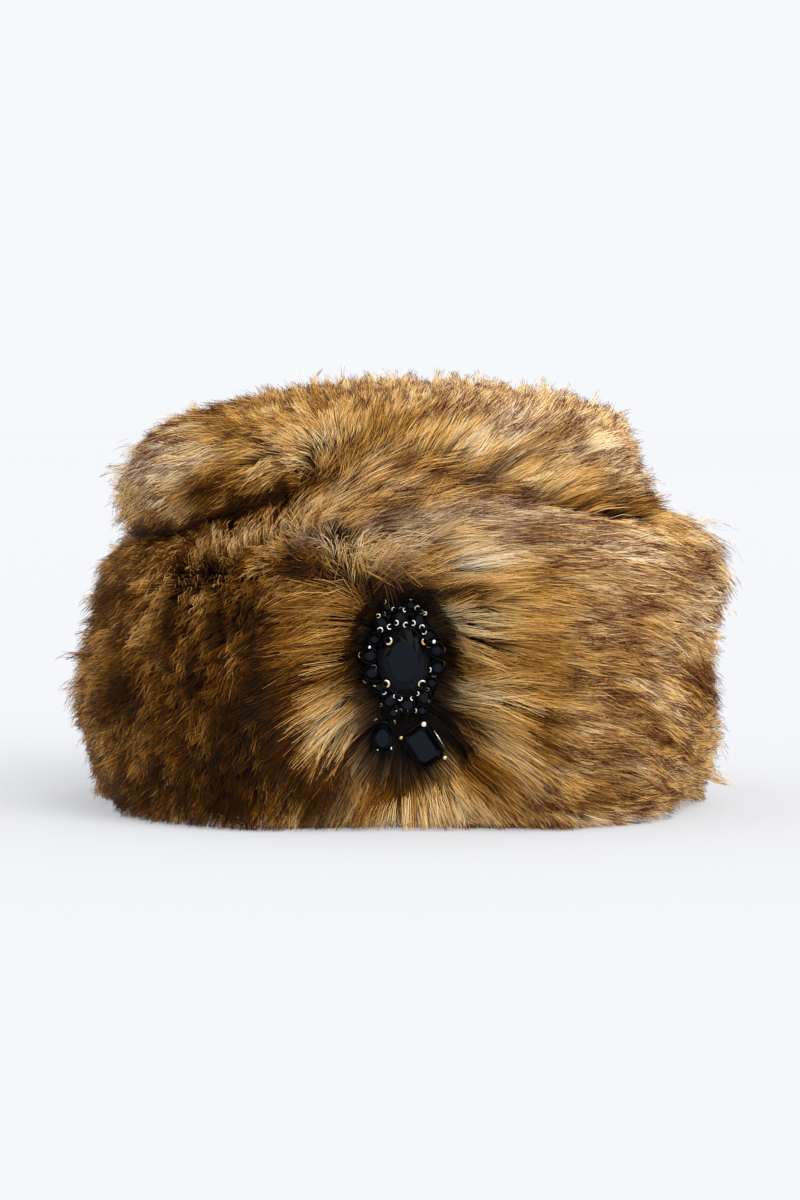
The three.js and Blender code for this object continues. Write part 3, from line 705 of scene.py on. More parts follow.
def cast_form(tree):
    """Distance of a form from the middle in each direction, or nought where it isn't met above the floor."""
    form = np.zeros((LEVELS, AZIMUTHS))
    middle = Vector(MIDDLE)
    for row in range(LEVELS):
        for column in range(AZIMUTHS):
            way = Vector(WAYS[row, column])
            place = tree.ray_cast(middle + OUTSIDE * way, -way)[0]
            if place and place.z > -FLOOR_GAP:
                form[row, column] = (place - middle).length
    return form


def down_to_floor(form):
    """A form carried on to the floor in the directions that miss it."""
    floor = MIDDLE[2] / np.maximum(-np.sin(LEVEL_STEPS), LEAST)[:, None]
    return np.where(form > 0, form, np.minimum(floor, OUTSIDE))


def smoothed(form, rounds):
    for _ in range(rounds):
        form = (np.roll(form, 1, 1) + 2 * form + np.roll(form, -1, 1)) / 4
        ends = np.vstack([form[:1], form, form[-1:]])
        form = (ends[:-2] + 2 * form + ends[2:]) / 4
    return form


class Form:
    """A form round the middle: its distance in each direction, with the places and normals that follow."""

    def __init__(self, reach):
        self.reach = reach
        self.places = MIDDLE + WAYS * reach[..., None]
        across = np.roll(self.places, -1, 1) - np.roll(self.places, 1, 1)
        up = np.gradient(self.places, axis=0)
        normals = unit(np.cross(across, up))
        normals[-2:] = unit(normals[-3].mean(0))
        self.normals = normals

    def project(self, points):
        """The places on the form in the directions of some points."""
        return MIDDLE + unit(points - MIDDLE) * read(self.reach, points)[:, None]


def read(table, points):
    """A table by direction, read smoothly in the directions of some points."""
    away = points - MIDDLE
    azimuth = np.arctan2(away[:, 0], -away[:, 1])
    level = np.arctan2(away[:, 2], np.hypot(away[:, 0], away[:, 1]))
    column = (azimuth + math.pi) / (2 * math.pi) * AZIMUTHS
    row = np.clip((level - LOWEST) / (HIGHEST - LOWEST) * (LEVELS - 1), 0, LEVELS - 1.001)
    c0 = np.floor(column).astype(int)
    r0 = row.astype(int)
    fc = column - c0
    fr = row - r0
    if table.ndim == 3:
        fc, fr = fc[:, None], fr[:, None]
    c1 = (c0 + 1) % AZIMUTHS
    c0 = c0 % AZIMUTHS
    low = table[r0, c0] * (1 - fc) + table[r0, c1] * fc
    high = table[r0 + 1, c0] * (1 - fc) + table[r0 + 1, c1] * fc
    return low * (1 - fr) + high * fr


def near_oval(places, middle, reach):
    """How far places on the front lie from the middle of an oval, with 1 on the oval and more at the back."""
    away = np.hypot((places[..., 0] - middle[0]) / reach[0], (places[..., 2] - middle[1]) / reach[1])
    return np.where(places[..., 1] < 0, away, FAR_AWAY)


def eased_dent(form):
    """The form with the rim of the dent round the brooch worn down and its floor filled beside the brooch."""
    soft = smoothed(form, DENT_ROUNDS)
    places = MIDDLE + WAYS * form[..., None]
    share = smooth_step(*DENT_FADE, near_oval(places, DENT_MIDDLE, DENT_REACH))
    beside_brooch = smooth_step(*BROOCH_FADE, near_oval(places, BROOCH_MIDDLE, BROOCH_REACH))
    beside_drops = smooth_step(*DROPS_FADE, near_oval(places, DROPS_MIDDLE, DROPS_REACH))
    change = soft - form
    change = np.where(change < 0, change, change * beside_brooch * beside_drops * DENT_FILL)
    return form + share * change


def closed_below(form):
    """The form without the foot of the dent: under the drops the fur comes forward again to the hem."""
    places = MIDDLE + WAYS * form[..., None]
    kept = (near_oval(places, DENT_MIDDLE, DENT_FOOT_REACH) > 1).astype(float)
    whole = smoothed(form * kept, DENT_ROUNDS) / np.maximum(smoothed(kept, DENT_ROUNDS), LEAST)
    share = smooth_step(*DENT_FOOT, places[..., 2]) * (places[..., 1] < 0)
    return form + share * np.maximum(whole - form, 0)


def upright_hem(form):
    """The form with its foot brought out, so that the fur goes straight down to the floor."""
    flat = np.cos(LEVEL_STEPS)[:, None]
    down = -np.sin(LEVEL_STEPS)[:, None]
    out = form * flat
    height = MIDDLE[2] - form * down
    foot = (height > HEM_HEIGHT).argmax(0)
    least = out[foot, np.arange(AZIMUTHS)] * HEM_TUCK
    wanted = np.minimum(least / flat, MIDDLE[2] / np.maximum(down, LEAST))
    return np.where(height < HEM_HEIGHT, np.maximum(form, wanted), form)


def softened_crease(form):
    """The form with the crease under the crown filled in, except on the viewer's left, where it is deep."""
    places = MIDDLE + WAYS * form[..., None]
    share = smooth_step(*CREASE_FADE, places[..., 0]) * (places[..., 2] > CREASE_FLOOR) * CREASE_FILL
    return form + share * np.maximum(smoothed(form, CREASE_ROUNDS) - form, 0)


def trimmed(form):
    """The form with the charted trims taken off."""
    places = MIDDLE + WAYS * form[..., None]
    for azimuth, height, reach, inset in TRIMS:
        side = math.radians(azimuth)
        level = math.atan2(height * MM - MIDDLE[2], MEAN_RADIUS)
        row = int((level - LOWEST) / (HIGHEST - LOWEST) * (LEVELS - 1))
        column = int((side + math.pi) / (2 * math.pi) * AZIMUTHS) % AZIMUTHS
        away = np.linalg.norm(places - places[row, column], axis=2)
        form = form - inset * MM * np.exp(-((away / (reach * MM)) ** 2))
    return form


def turned_onto(normal, azimuth, angle):
    """A direction in the upright plane that faces an azimuth, leant onto a surface with this normal."""
    side, turn = math.radians(azimuth), math.radians(angle)
    facing = Vector((math.sin(side), -math.cos(side), 0))
    right = Vector((math.cos(side), math.sin(side), 0))
    flat = right * math.cos(turn) + Vector((0, 0, 1)) * math.sin(turn)
    return facing.rotation_difference(Vector(normal)) @ flat


def halo_knots():
    """Knots round the brooch, with the hairs running straight out from it."""
    rows = []
    for k in range(HALO_KNOTS):
        turn = 360 * k / HALO_KNOTS
        if abs(turn - 270) < HALO_UNDER or abs(turn - 90) < HALO_OVER:
            continue
        c, s = math.cos(math.radians(turn)), math.sin(math.radians(turn))
        x, y = BROOCH_X + HALO_WIDE * c, BROOCH_Y - HALO_TALL * s
        angle = math.degrees(math.atan2(s / HALO_TALL, c / HALO_WIDE))
        rows.append((x, y, angle, HALO_SWEEP, HALO_PROUD))
    return rows


def knots_of(outer, crown_tree, band_tree):
    """The places of the charted knots, with their lie and whether they belong to the crown."""
    places, lies, on_crown = [], [], []
    for x, y, *lie in COMB + halo_knots():
        band = band_tree.ray_cast(CAMERA_PLACE, photo_ray(x, y))
        crown = crown_tree.ray_cast(CAMERA_PLACE, photo_ray(x, y))
        if band[0] or crown[0]:
            first = crown[0] and (not band[0] or crown[3] < band[3])
            places.append(crown[0] if first else band[0])
            lies.append((0, *lie))
            on_crown.append(bool(first))
    for azimuth, height, *lie in HIDDEN_COMB:
        side = math.radians(azimuth)
        out = OVER_HAT if height > TOP_FROM else BESIDE_HAT
        start = np.array([[out * math.sin(side), -out * math.cos(side), height * MM]])
        places.append(outer.project(start)[0])
        lies.append((azimuth, *lie))
        on_crown.append(height > CROWN_FROM)
    return np.array(places), lies, np.array(on_crown)


def comb_field(outer, places, lies):
    """The fur's lie by direction: a unit way along the surface, its sweep and how proud the tips stand."""
    normals = unit(read(outer.normals, places))
    ways = np.array([turned_onto(normal, *lie[:2]) for normal, lie in zip(normals, lies)])
    runs = np.array([(sweep * MM, proud * MM) for *_, sweep, proud in lies])
    gap = ((outer.places.reshape(-1, 1, 3) - places[None]) ** 2).sum(-1)
    weight = 1 / (gap / COMB_REACH**2 + COMB_SOFTNESS) ** COMB_POWER
    weight /= weight.sum(1, keepdims=True)
    way = weight @ ways
    flat_normals = outer.normals.reshape(-1, 3)
    way = unit(way - (way * flat_normals).sum(1, keepdims=True) * flat_normals)
    return np.concatenate([way, weight @ runs], 1).reshape(LEVELS, AZIMUTHS, 5)


def tone_field(outer):
    """How pale, how greyish and how tangled the hairs are: charted in front, with noise all round. The
    charted paleness holds painted shade and painted highlights as well as the fur's own tone.
    """
    places = outer.places.reshape(-1, 3)
    seen = (places - np.array(CAMERA_PLACE)) @ np.array(CAMERA_TURN.to_matrix())
    x = PHOTO_WIDE / 2 + seen[:, 0] / -seen[:, 2] * FOCAL_PIXELS
    y = PHOTO_TALL / 2 - seen[:, 1] / -seen[:, 2] * FOCAL_PIXELS
    front = smooth_step(*FRONT_FADE, places[:, 1])
    tone = BASE_TONE + TONE_NOISE * waves(places, BROAD_WAVE) + TONE_NOISE * waves(places, FINE_WAVE)
    grey = BASE_GREY + GREY_NOISE * waves(places, GREY_WAVE)

    def within(px, py, long, wide, angle):
        a = math.radians(angle)
        along = (x - px) * math.cos(a) - (y - py) * math.sin(a)
        beside = (x - px) * math.sin(a) + (y - py) * math.cos(a)
        return front * np.exp(-(((along / long) ** 2 + (beside / wide) ** 2) ** PATCH_EDGE))

    # Each patch adds the fur's own tone together with painted shade and painted highlights.
    for *patch, paler, greyer in FUR_TONE_SHADE_AND_HIGHLIGHT_PATCHES:
        share = within(*patch)
        tone += share * paler
        grey += share * greyer
    rough = sum(within(*tangle) * amount for *tangle, amount in TANGLES)
    return np.stack([tone, grey, rough], 1).reshape(LEVELS, AZIMUTHS, 3)


def scatter(outer, count):
    """Places spread evenly by area over the outer form, and more densely in front."""
    found = []
    total = 0
    while total < count:
        tries = count * 2
        azimuth = random.uniform(-math.pi, math.pi, tries)
        level = np.arcsin(random.uniform(math.sin(LOWEST), 1, tries))
        ways = directions(azimuth, level)
        points = outer.project(MIDDLE + ways)
        normals = unit(read(outer.normals, points))
        reach = np.linalg.norm(points - MIDDLE, axis=1)
        facing = np.maximum((normals * ways).sum(1), LEAST_FACING)
        density = reach**2 / facing * np.where(points[:, 1] < 0, FRONT_SHARE, 1)
        keep = random.uniform(0, 1, tries) < density / (MEAN_REACH**2 * FRONT_SHARE * DENSEST)
        keep &= points[:, 2] > HEM_ROOTS
        keep &= (normals[:, 2] > UNDERSIDE) | (points[:, 2] > LOWEST_UNDERSIDE)
        keep &= near_oval(points, BROOCH_MIDDLE, BROOCH_REACH) > UNDER_BROOCH
        found.append(points[keep])
        total += keep.sum()
    return np.concatenate(found)[:count]


def turned_about(vectors, axes, angles):
    c, s = np.cos(angles)[:, None], np.sin(angles)[:, None]
    along = (vectors * axes).sum(1, keepdims=True) * axes
    return vectors * c + np.cross(axes, vectors) * s + along * (1 - c)


def paths(outer, comb, roots, depth, sweep, proud, veer, lengths):
    """The line of each strand, from its root under the outer form up and along the surface to its tip."""
    points = outer.project(roots)
    normals = unit(read(outer.normals, points))
    first_way = turned_about(unit(read(comb, points)), normals, veer)
    lines = [points - normals * depth[:, None]]
    walk, way = points, first_way
    for k in range(1, lengths + 1):
        share = k / lengths
        walk = outer.project(walk + way * (sweep / lengths)[:, None])
        normal_here = unit(read(outer.normals, walk))
        way = turned_about(unit(read(comb, walk)), normal_here, veer)
        rise = -depth + (depth + proud) * (1 - (1 - share) ** CURL)
        hugging = walk + normal_here * rise[:, None]
        straight = points + first_way * (sweep * share)[:, None] + normals * rise[:, None]
        lines.append(hugging * HUGGING + straight * (1 - HUGGING))
    return np.stack(lines, 1)


def tuft_of(places, centers):
    tree = KDTree(len(centers))
    for i, place in enumerate(centers):
        tree.insert(place, i)
    tree.balance()
    return np.array([tree.find(place)[1] for place in places])


def make_tufts(outer, on_crown):
    centers = scatter(outer, TUFTS)
    count = len(centers)
    return {
        "centers": centers,
        "crown": read(on_crown, centers) > 0.5,
        "pull": random.uniform(*TUFT_PULL, count),
        "size": random.uniform(*TUFT_SIZE, count),
        "rise": LEAST_RISE + random.gamma(*TUFT_RISE, count),
        "veer": VEER_WAVES * waves(centers, VEER_LENGTH) + random.normal(0, TUFT_VEER, count),
        "ripe": MEAN_RIPE + RIPE_WAVES * waves(centers, RIPE_LENGTH) + random.normal(0, TUFT_RIPE, count),
        "tone": random.normal(0, TUFT_TONE, count),
        "grey": random.uniform(0, 1, count),
    }


def grow_coat(coat, outer, depths, combs, tones, on_crown, tufts):
    """One coat of strands: their lines, their places in the map, and which of them are on the crown."""
    name, strands, widths, reach, drop, ripe, pull, stray, paler = coat
    lengths = len(widths) - 1
    roots = scatter(outer, strands)
    if name == "loose":
        roots = roots[read(tones, roots)[:, 2] > random.uniform(*LOOSE_FROM, len(roots))]
    crown = read(on_crown, roots) > 0.5
    group = tuft_of(roots, tufts["centers"])
    follows = pull * tufts["pull"][group] * (crown == tufts["crown"][group])
    centers = tufts["centers"]
    lines = np.zeros((len(roots), lengths + 1, 3))
    leads = np.zeros((len(centers), lengths + 1, 3))
    for zone, comb in enumerate(combs):
        for places, chosen, made, tuft in (
            (roots, crown == bool(zone), lines, group),
            (centers, tufts["crown"] == bool(zone), leads, np.arange(len(centers))),
        ):
            spots, tuft = places[chosen], tuft[chosen]
            count = len(spots)
            lie = read(comb, spots)
            near = smooth_step(*PROUD_FADE, near_oval(spots, BROOCH_MIDDLE, BROOCH_REACH))
            depth = read(depths, spots) * random.uniform(*DEPTH_RANGE, count)
            sweep = lie[:, 3] * tufts["size"][tuft] * random.uniform(*SWEEP_RANGE, count) * reach
            proud = (lie[:, 4] * tufts["rise"][tuft] + FORM_INSET) * near
            proud = proud * random.uniform(*PROUD_RANGE, count) - drop
            rough = read(tones, spots)[:, 2]
            veer = tufts["veer"][tuft] * (1 + TANGLED_VEER * rough)
            veer = veer + random.normal(0, 1, count) * (stray + TANGLED_STRAY * rough)
            made[chosen] = paths(outer, comb[..., :3], spots, depth, sweep, proud, veer, lengths)
    for k in range(1, lengths + 1):
        share = k / lengths
        lead_way = unit(leads[:, k] - leads[:, k - 1])[group]
        gap = leads[group, k] - lines[:, k]
        gap -= ALONG_FREE * (gap * lead_way).sum(1, keepdims=True) * lead_way
        lines[:, k] += gap * (follows * share**PULL_POWER)[:, None]
        lines[:, k] += random.normal(0, JITTER * share, (len(roots), 3))
    root, tip = lines[:, :1, 2], lines[:, -1:, 2]
    clear = np.clip((root - FLOOR_GAP) / np.maximum(root - tip, 1e-5), SHORTEST, 1)
    lines = lines[:, :1] + (lines - lines[:, :1]) * clear[..., None]
    lines[..., 2] = np.maximum(lines[..., 2], FLOOR_GAP)
    tone, grey, _ = read(tones, (lines[:, 0] + lines[:, -1]) / 2).T
    tone = tone + tufts["tone"][group] + paler + random.normal(0, STRAND_TONE, len(roots))
    tone = np.clip(tone, *TONE_RANGE)
    greyish = 0.5 * tufts["grey"][group] + 0.5 * random.uniform(0, 1, len(roots)) < grey
    family = np.where(greyish, FAMILY_EDGE + (1 - FAMILY_EDGE) * tone, FAMILY_EDGE * tone)
    ripeness = ripe * tufts["ripe"][group] * random.uniform(*RIPE_RANGE, len(roots))
    beyond = smooth_step(*HALO_EDGE, near_oval(roots, BROOCH_MIDDLE, BROOCH_REACH))
    ripeness *= HALO_RIPE + (1 - HALO_RIPE) * beyond
    return lines, family, ripeness, crown


def ribbon_mesh(name, widths, lines, normals, tones, ripeness):
    """A mesh of flat ribbons along some lines, with their tone and their length in the texture map."""
    count, points = lines.shape[:2]
    ways = np.empty_like(lines)
    ways[:, :-1] = lines[:, 1:] - lines[:, :-1]
    ways[:, -1] = ways[:, -2]
    ways[:, 1:-1] = (lines[:, 2:] - lines[:, :-2]) / 2
    ways = unit(ways)
    beside = unit(np.cross(ways, normals[:, None, :]))
    above = np.cross(beside, ways)
    twist = random.uniform(-TWIST, TWIST, (count, 1, 1))
    side = beside * np.cos(twist) + above * np.sin(twist)
    half = np.array(widths)[None, :, None] / 2 * MM * random.uniform(*WIDTH_RANGE, (count, 1, 1))
    places = np.stack([lines - side * half, lines + side * half], 2).reshape(count, 2 * points, 3)
    corner = np.array([[2 * k, 2 * k + 1, 2 * k + 3, 2 * k + 2] for k in range(points - 1)]).ravel()
    loops = np.arange(count)[:, None] * 2 * points + corner[None]
    share = corner // 2 / (points - 1)
    v = np.minimum(ROOT_V + LENGTH_V * share[None] * ripeness[:, None], TOP_V)
    u = tones[:, None] + np.where(corner % 2 == 0, -MAP_STEP, MAP_STEP)[None]
    mesh = bpy.data.meshes.new(name)
    mesh.vertices.add(places.size // 3)
    mesh.vertices.foreach_set("co", places.astype(np.float32).ravel())
    mesh.loops.add(loops.size)
    mesh.loops.foreach_set("vertex_index", loops.astype(np.int32).ravel())
    mesh.polygons.add(loops.size // 4)
    mesh.polygons.foreach_set("loop_start", np.arange(0, loops.size, 4, dtype=np.int32))
    layer = mesh.uv_layers.new(name="OFBake")
    layer.data.foreach_set("uv", np.stack([u, v], -1).astype(np.float32).ravel())
    mesh.update(calc_edges=True)
    mesh.validate()
    soft = unit(np.cross(side, ways) * OWN_SHARE + normals[:, None, :])
    mesh.normals_split_custom_set_from_vertices(np.repeat(soft, 2, 1).reshape(-1, 3))
    return mesh


class Look:
    """A material under construction. Sockets go in and come out of its methods."""

    def __init__(self, name, roughness, specular=0.5):
        self.material = bpy.data.materials.new(name)
        self.material.use_nodes = True
        self.nodes = self.material.node_tree.nodes
        self.links = self.material.node_tree.links
        self.shader = self.nodes["Principled BSDF"].inputs
        self.shader["Roughness"].default_value = roughness
        self.shader["Specular IOR Level"].default_value = specular

    def color(self, source):
        self.links.new(source, self.shader["Base Color"])

    def split(self, vector):
        node = self.nodes.new("ShaderNodeSeparateXYZ")
        self.links.new(vector, node.inputs["Vector"])
        return node.outputs["X"], node.outputs["Y"], node.outputs["Z"]

    def place(self):
        """The place in the object's own space."""
        return self.nodes.new("ShaderNodeTexCoord").outputs["Object"]

    def uv(self):
        """The two numbers of the texture map."""
        node = self.nodes.new("ShaderNodeUVMap")
        node.uv_map = "OFBake"
        return self.split(node.outputs["UV"])[:2]

    def noise(self, scale, detail=2, place=None):
        node = self.nodes.new("ShaderNodeTexNoise")
        node.inputs["Scale"].default_value = scale
        node.inputs["Detail"].default_value = detail
        if place:
            self.links.new(place, node.inputs["Vector"])
        return node.outputs["Fac"]

    def ramp(self, source, stops):
        """A colour ramp of (place, sRGB colour) stops that reads a number."""
        node = self.nodes.new("ShaderNodeValToRGB")
        elements = node.color_ramp.elements
        while len(elements) < len(stops):
            elements.new(0.5)
        for element, (place, rgb) in zip(elements, stops):
            element.position = place
            element.color = linear(rgb)
        self.links.new(source, node.inputs["Fac"])
        return node.outputs["Color"]

    def mix(self, share, low, high):
        node = self.nodes.new("ShaderNodeMix")
        node.data_type = "RGBA"
        self.links.new(share, node.inputs["Factor"])
        self.links.new(low, node.inputs["A"])
        self.links.new(high, node.inputs["B"])
        return node.outputs["Result"]

    def maths(self, operation, *values):
        """The result of a sum on numbers and on what other nodes give."""
        node = self.nodes.new("ShaderNodeMath")
        node.operation = operation
        for socket, value in zip(node.inputs, values):
            if isinstance(value, (int, float)):
                socket.default_value = value
            else:
                self.links.new(value, socket)
        return node.outputs["Value"]

    def share(self, source, low, high, easing="SMOOTHSTEP"):
        """How far a number has come from low to high, of 1."""
        node = self.nodes.new("ShaderNodeMapRange")
        node.interpolation_type = easing
        node.inputs["From Min"].default_value = low
        node.inputs["From Max"].default_value = high
        self.links.new(source, node.inputs["Value"])
        return node.outputs["Result"]

    def bump(self, height, strength, distance):
        node = self.nodes.new("ShaderNodeBump")
        node.inputs["Strength"].default_value = strength
        node.inputs["Distance"].default_value = distance
        self.links.new(height, node.inputs["Height"])
        self.links.new(node.outputs["Normal"], self.shader["Normal"])


def hair_material():
    """Hair: dark at the root, golden half way up and brown at the tip, of the kind that its map's u gives."""
    look = Look("hair", 0.55, 0.08)
    tone, along = look.uv()
    kinds = [(FAMILY_EDGE * WARM_SHARE * kind[0], *kind[1:]) for kind in WARM_KINDS]
    kinds += [(FAMILY_EDGE + (1 - FAMILY_EDGE) * kind[0], *kind[1:]) for kind in GREY_KINDS]
    root, middle, tip = (look.ramp(tone, [(kind[0], kind[part]) for kind in kinds]) for part in (1, 2, 3))
    lower = look.mix(look.share(along, *ROOT_TO_MIDDLE), root, middle)
    look.color(look.mix(look.share(along, *MIDDLE_TO_TIP), lower, tip))
    return look.material


def undercoat_material():
    """The dense short pile at the foot of the hairs, seen only where they part."""
    look = Look("undercoat", 0.9, 0.1)
    noise = look.noise(900, 4, look.place())
    look.color(look.ramp(noise, [(0.35, (24, 16, 10)), (0.65, (62, 42, 24))]))
    look.bump(noise, 0.6, 0.6 * MM)
    return look.material


def floor_material():
    look = Look("pale_floor", 0.9, 0.0)
    color = look.ramp(look.noise(2), [(0.3, (164, 165, 168)), (0.7, (166, 167, 170))])
    look.color(color)
    look.links.new(color, look.shader["Emission Color"])
    look.shader["Emission Strength"].default_value = FLOOR_GLOW
    return look.material


def grid_mesh(name, places):
    """A mesh over rows of places that each go round the hat, with one place at the top."""
    rows, columns = places.shape[:2]
    flat = [tuple(p) for p in places.reshape(-1, 3)]
    faces = []
    for r in range(rows - 1):
        for c in range(columns):
            n = (c + 1) % columns
            low, high = r * columns, (r + 1) * columns
            faces.append((low + c, low + n, high + n, high + c))
    flat.append(tuple(places[-1].mean(0)))
    top = (rows - 1) * columns
    faces += [(top + c, top + (c + 1) % columns, len(flat) - 1) for c in range(columns)]
    mesh = bpy.data.meshes.new(name)
    mesh.from_pydata(flat, [], faces)
    mesh.update()
    return mesh


def make_piece(name, mesh, material, slot, *nodes):
    mesh.materials.append(material)
    piece = link(bpy.data.objects.new(name, mesh))
    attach(piece, "root")
    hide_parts(*nodes)


def make_undercoat(under):
    rows = np.arange(UNDERCOAT_FOOT, LEVELS - UNDERCOAT_STEP, UNDERCOAT_STEP)
    columns = np.arange(0, AZIMUTHS, UNDERCOAT_STEP)
    places = under.places[np.ix_(rows, columns)].copy()
    places[..., 2] = np.maximum(places[..., 2], FLOOR_GAP)
    mesh = grid_mesh("fur_undercoat", places)
    mesh.shade_smooth()
    make_piece("fur_undercoat", mesh, undercoat_material(), "fur_pile", "band_pile", "crown_pile")


def make_fur(outer, depths, combs, tones, on_crown):
    """All coats, cut into pieces by what they grow on and by which way they face."""
    tufts = make_tufts(outer, on_crown)
    material = hair_material()
    for coat in COATS:
        lines, family, ripeness, crown = grow_coat(coat, outer, depths, combs, tones, on_crown, tufts)
        normals = unit(read(outer.normals, lines[:, 0]))
        front, left = lines[:, 0, 1] < 0, lines[:, 0, 0] < 0
        zones = {
            "crown_front": (crown & front, "crown_pile"),
            "crown_back": (crown & ~front, "crown_pile"),
            "band_front_left": (~crown & front & left, "band_pile"),
            "band_front_right": (~crown & front & ~left, "band_pile"),
            "band_back": (~crown & ~front, "band_pile"),
        }
        for zone, (chosen, node) in zones.items():
            if not chosen.any():
                continue
            name = f"fur_{coat[0]}_{zone}"
            strands = (values[chosen] for values in (lines, normals, family, ripeness))
            make_piece(name, ribbon_mesh(name, coat[2], *strands), material, "fur_pile", node)


def cloth_material():
    """Knitted backing: rows of small stitches, matt, in uneven dark brown."""
    look = Look("knitted_backing", 0.95, 0.15)
    place = look.place()
    x, y, z = look.split(place)
    turn = look.maths("ARCTAN2", y, x)
    across = look.maths("SINE", look.maths("MULTIPLY", turn, STITCHES_ROUND))
    height = look.maths("MULTIPLY", z, 2 * math.pi / COURSE)
    bow = look.maths("MULTIPLY", look.maths("ABSOLUTE", across), 2.0)
    stitch = look.share(look.maths("SINE", look.maths("ADD", height, bow)), -1, 1)
    noise = look.noise(60, 5, place)
    low = look.ramp(noise, [(0.3, (34, 24, 16)), (0.7, (46, 33, 22))])
    high = look.ramp(noise, [(0.3, (84, 62, 42)), (0.7, (104, 78, 54))])
    look.color(look.mix(stitch, low, high))
    look.bump(stitch, 0.7, 0.4 * MM)
    return look.material


def make_cloth():
    """The sewn cloth under the fur: the walls of the CAD cloth, rounded between their rims and rumpled."""
    material = cloth_material()
    for name in ("band_cloth", "crown_cloth"):
        shape = bmesh.new()
        shape.from_mesh(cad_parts[name].data)
        bmesh.ops.remove_doubles(shape, verts=shape.verts, dist=WELD)
        bmesh.ops.join_triangles(
            shape, faces=shape.faces, angle_face_threshold=FLAT_ANGLE, angle_shape_threshold=FLAT_ANGLE
        )
        crease = shape.edges.layers.float.new("crease_edge")
        for edge in shape.edges:
            if edge.calc_face_angle(0) > RIM_ANGLE:
                edge[crease] = RIM_CREASE
        cage = bpy.data.meshes.new(f"{name}_cage")
        shape.to_mesh(cage)
        shape.free()
        holder = link(bpy.data.objects.new(f"{name}_cage", cage))
        rounded = holder.modifiers.new("rounded", "SUBSURF")
        rounded.levels = rounded.render_levels = ROUNDINGS
        view = bpy.context.evaluated_depsgraph_get()
        mesh = bpy.data.meshes.new_from_object(holder.evaluated_get(view))
        bpy.data.objects.remove(holder)
        places = np.array([v.co for v in mesh.vertices])
        outward = unit(places * (1, 1, 0))
        places += outward * (RUMPLE * waves(places, RUMPLE_LENGTH))[:, None]
        mesh.vertices.foreach_set("co", places.astype(np.float32).ravel())
        mesh.update()
        mesh.shade_smooth()
        make_piece(f"{name}_knit", mesh, material, "backing_cloth", name)


def brooch_place(x, y, out):
    """The place on the hat of a point in the photograph's brooch, some way out from its plate."""
    across = (x - PHOTO_WIDE / 2) * BROOCH_SCALE
    up = BROOCH_MIDDLE[1] - (y - BROOCH_LEVEL) * BROOCH_SCALE
    return Vector((across, BROOCH_BACK - out, up))


class Soup:
    """Many small closed shapes gathered into one mesh, each with its own tone in the texture map."""

    def __init__(self):
        self.places, self.faces, self.tones = [], [], []

    def loft(self, rings, tone, closed=False):
        """A skin over rings of places, closed up at its ends or round on itself."""
        base, per, count = len(self.places), len(rings[0]), len(rings)
        self.places += [tuple(p) for ring in rings for p in ring]
        for r in range(count if closed else count - 1):
            low, high = base + r * per, base + (r + 1) % count * per
            for k in range(per):
                n = (k + 1) % per
                self.faces.append((low + k, low + n, high + n, high + k))
        if not closed:
            self.faces.append(tuple(base + per - 1 - k for k in range(per)))
            self.faces.append(tuple(base + (count - 1) * per + k for k in range(per)))
        self.tones += [tone] * (len(self.faces) - len(self.tones))

    def tube(self, path, radii, tone, closed=False):
        """A round wire along a path of places, as thick as its radii say."""
        path = [Vector(p) for p in path]
        rings = []
        last = len(path) - 1
        for i, place in enumerate(path):
            ahead = path[(i + 1) % len(path)] if closed or i < last else place
            behind = path[i - 1] if closed or i > 0 else place
            way = (ahead - behind).normalized()
            side = way.cross(Vector((0, 1, 0)))
            side = side.normalized() if side.length > 0.1 else way.cross(Vector((1, 0, 0))).normalized()
            up = side.cross(way)
            turns = [2 * math.pi * k / WIRE_SIDES for k in range(WIRE_SIDES)]
            rings.append([place + radii[i] * (side * math.cos(t) + up * math.sin(t)) for t in turns])
        self.loft(rings, tone, closed)

    def ring(self, middle, radius, wire, tone, first=0.0, span=360.0, tilt=None):
        """A ring of wire, or part of one, that faces the front unless it is tilted."""
        closed = span >= 360
        steps = max(LEAST_STEPS, int(span / RING_STEP))
        path, radii = [], []
        for k in range(steps + (0 if closed else 1)):
            turn = math.radians(first + span * k / steps)
            spot = Vector((math.cos(turn), 0, math.sin(turn))) * radius
            path.append(middle + (tilt @ spot if tilt else spot))
            thin = math.sin(math.pi * (k + 0.6) / (steps + 1.2)) ** TAPER
            radii.append(wire if closed else wire * thin)
        self.tube(path, radii, tone, closed)

    def wall(self, outline, profile, middle, turn, tone):
        """A wall that follows an outline, with a section in steps outward and out from the plate."""
        rings = []
        for outward, out in profile:
            ring = []
            for x, y, nx, ny in outline:
                spot = Vector((x + nx * outward, y + ny * outward)) @ turned_flat(turn)
                ring.append(brooch_spot(middle[0] + spot.x, middle[1] + spot.y, out))
            rings.append(ring)
        self.loft(rings, tone, closed=True)

    def mesh(self, name):
        mesh = bpy.data.meshes.new(name)
        mesh.from_pydata(self.places, [], self.faces)
        layer = mesh.uv_layers.new(name="OFBake")
        for polygon, tone in zip(mesh.polygons, self.tones):
            for k, loop in enumerate(polygon.loop_indices):
                layer.data[loop].uv = (tone + MAP_STEP * (k in (0, 3)), 0.5 + MAP_STEP * (k > 1))
        mesh.shade_smooth()
        return mesh


def turned_flat(angle):
    return Matrix.Rotation(-math.radians(angle), 2)


def brooch_spot(x, y, out):
    """The place on the hat of a point in the brooch's own frame, in mm."""
    flat = Vector((x, y)) @ turned_flat(BROOCH_TILT)
    return Vector((BROOCH_MIDDLE[0] + flat.x * MM, BROOCH_BACK - out * MM, BROOCH_MIDDLE[1] + flat.y * MM))


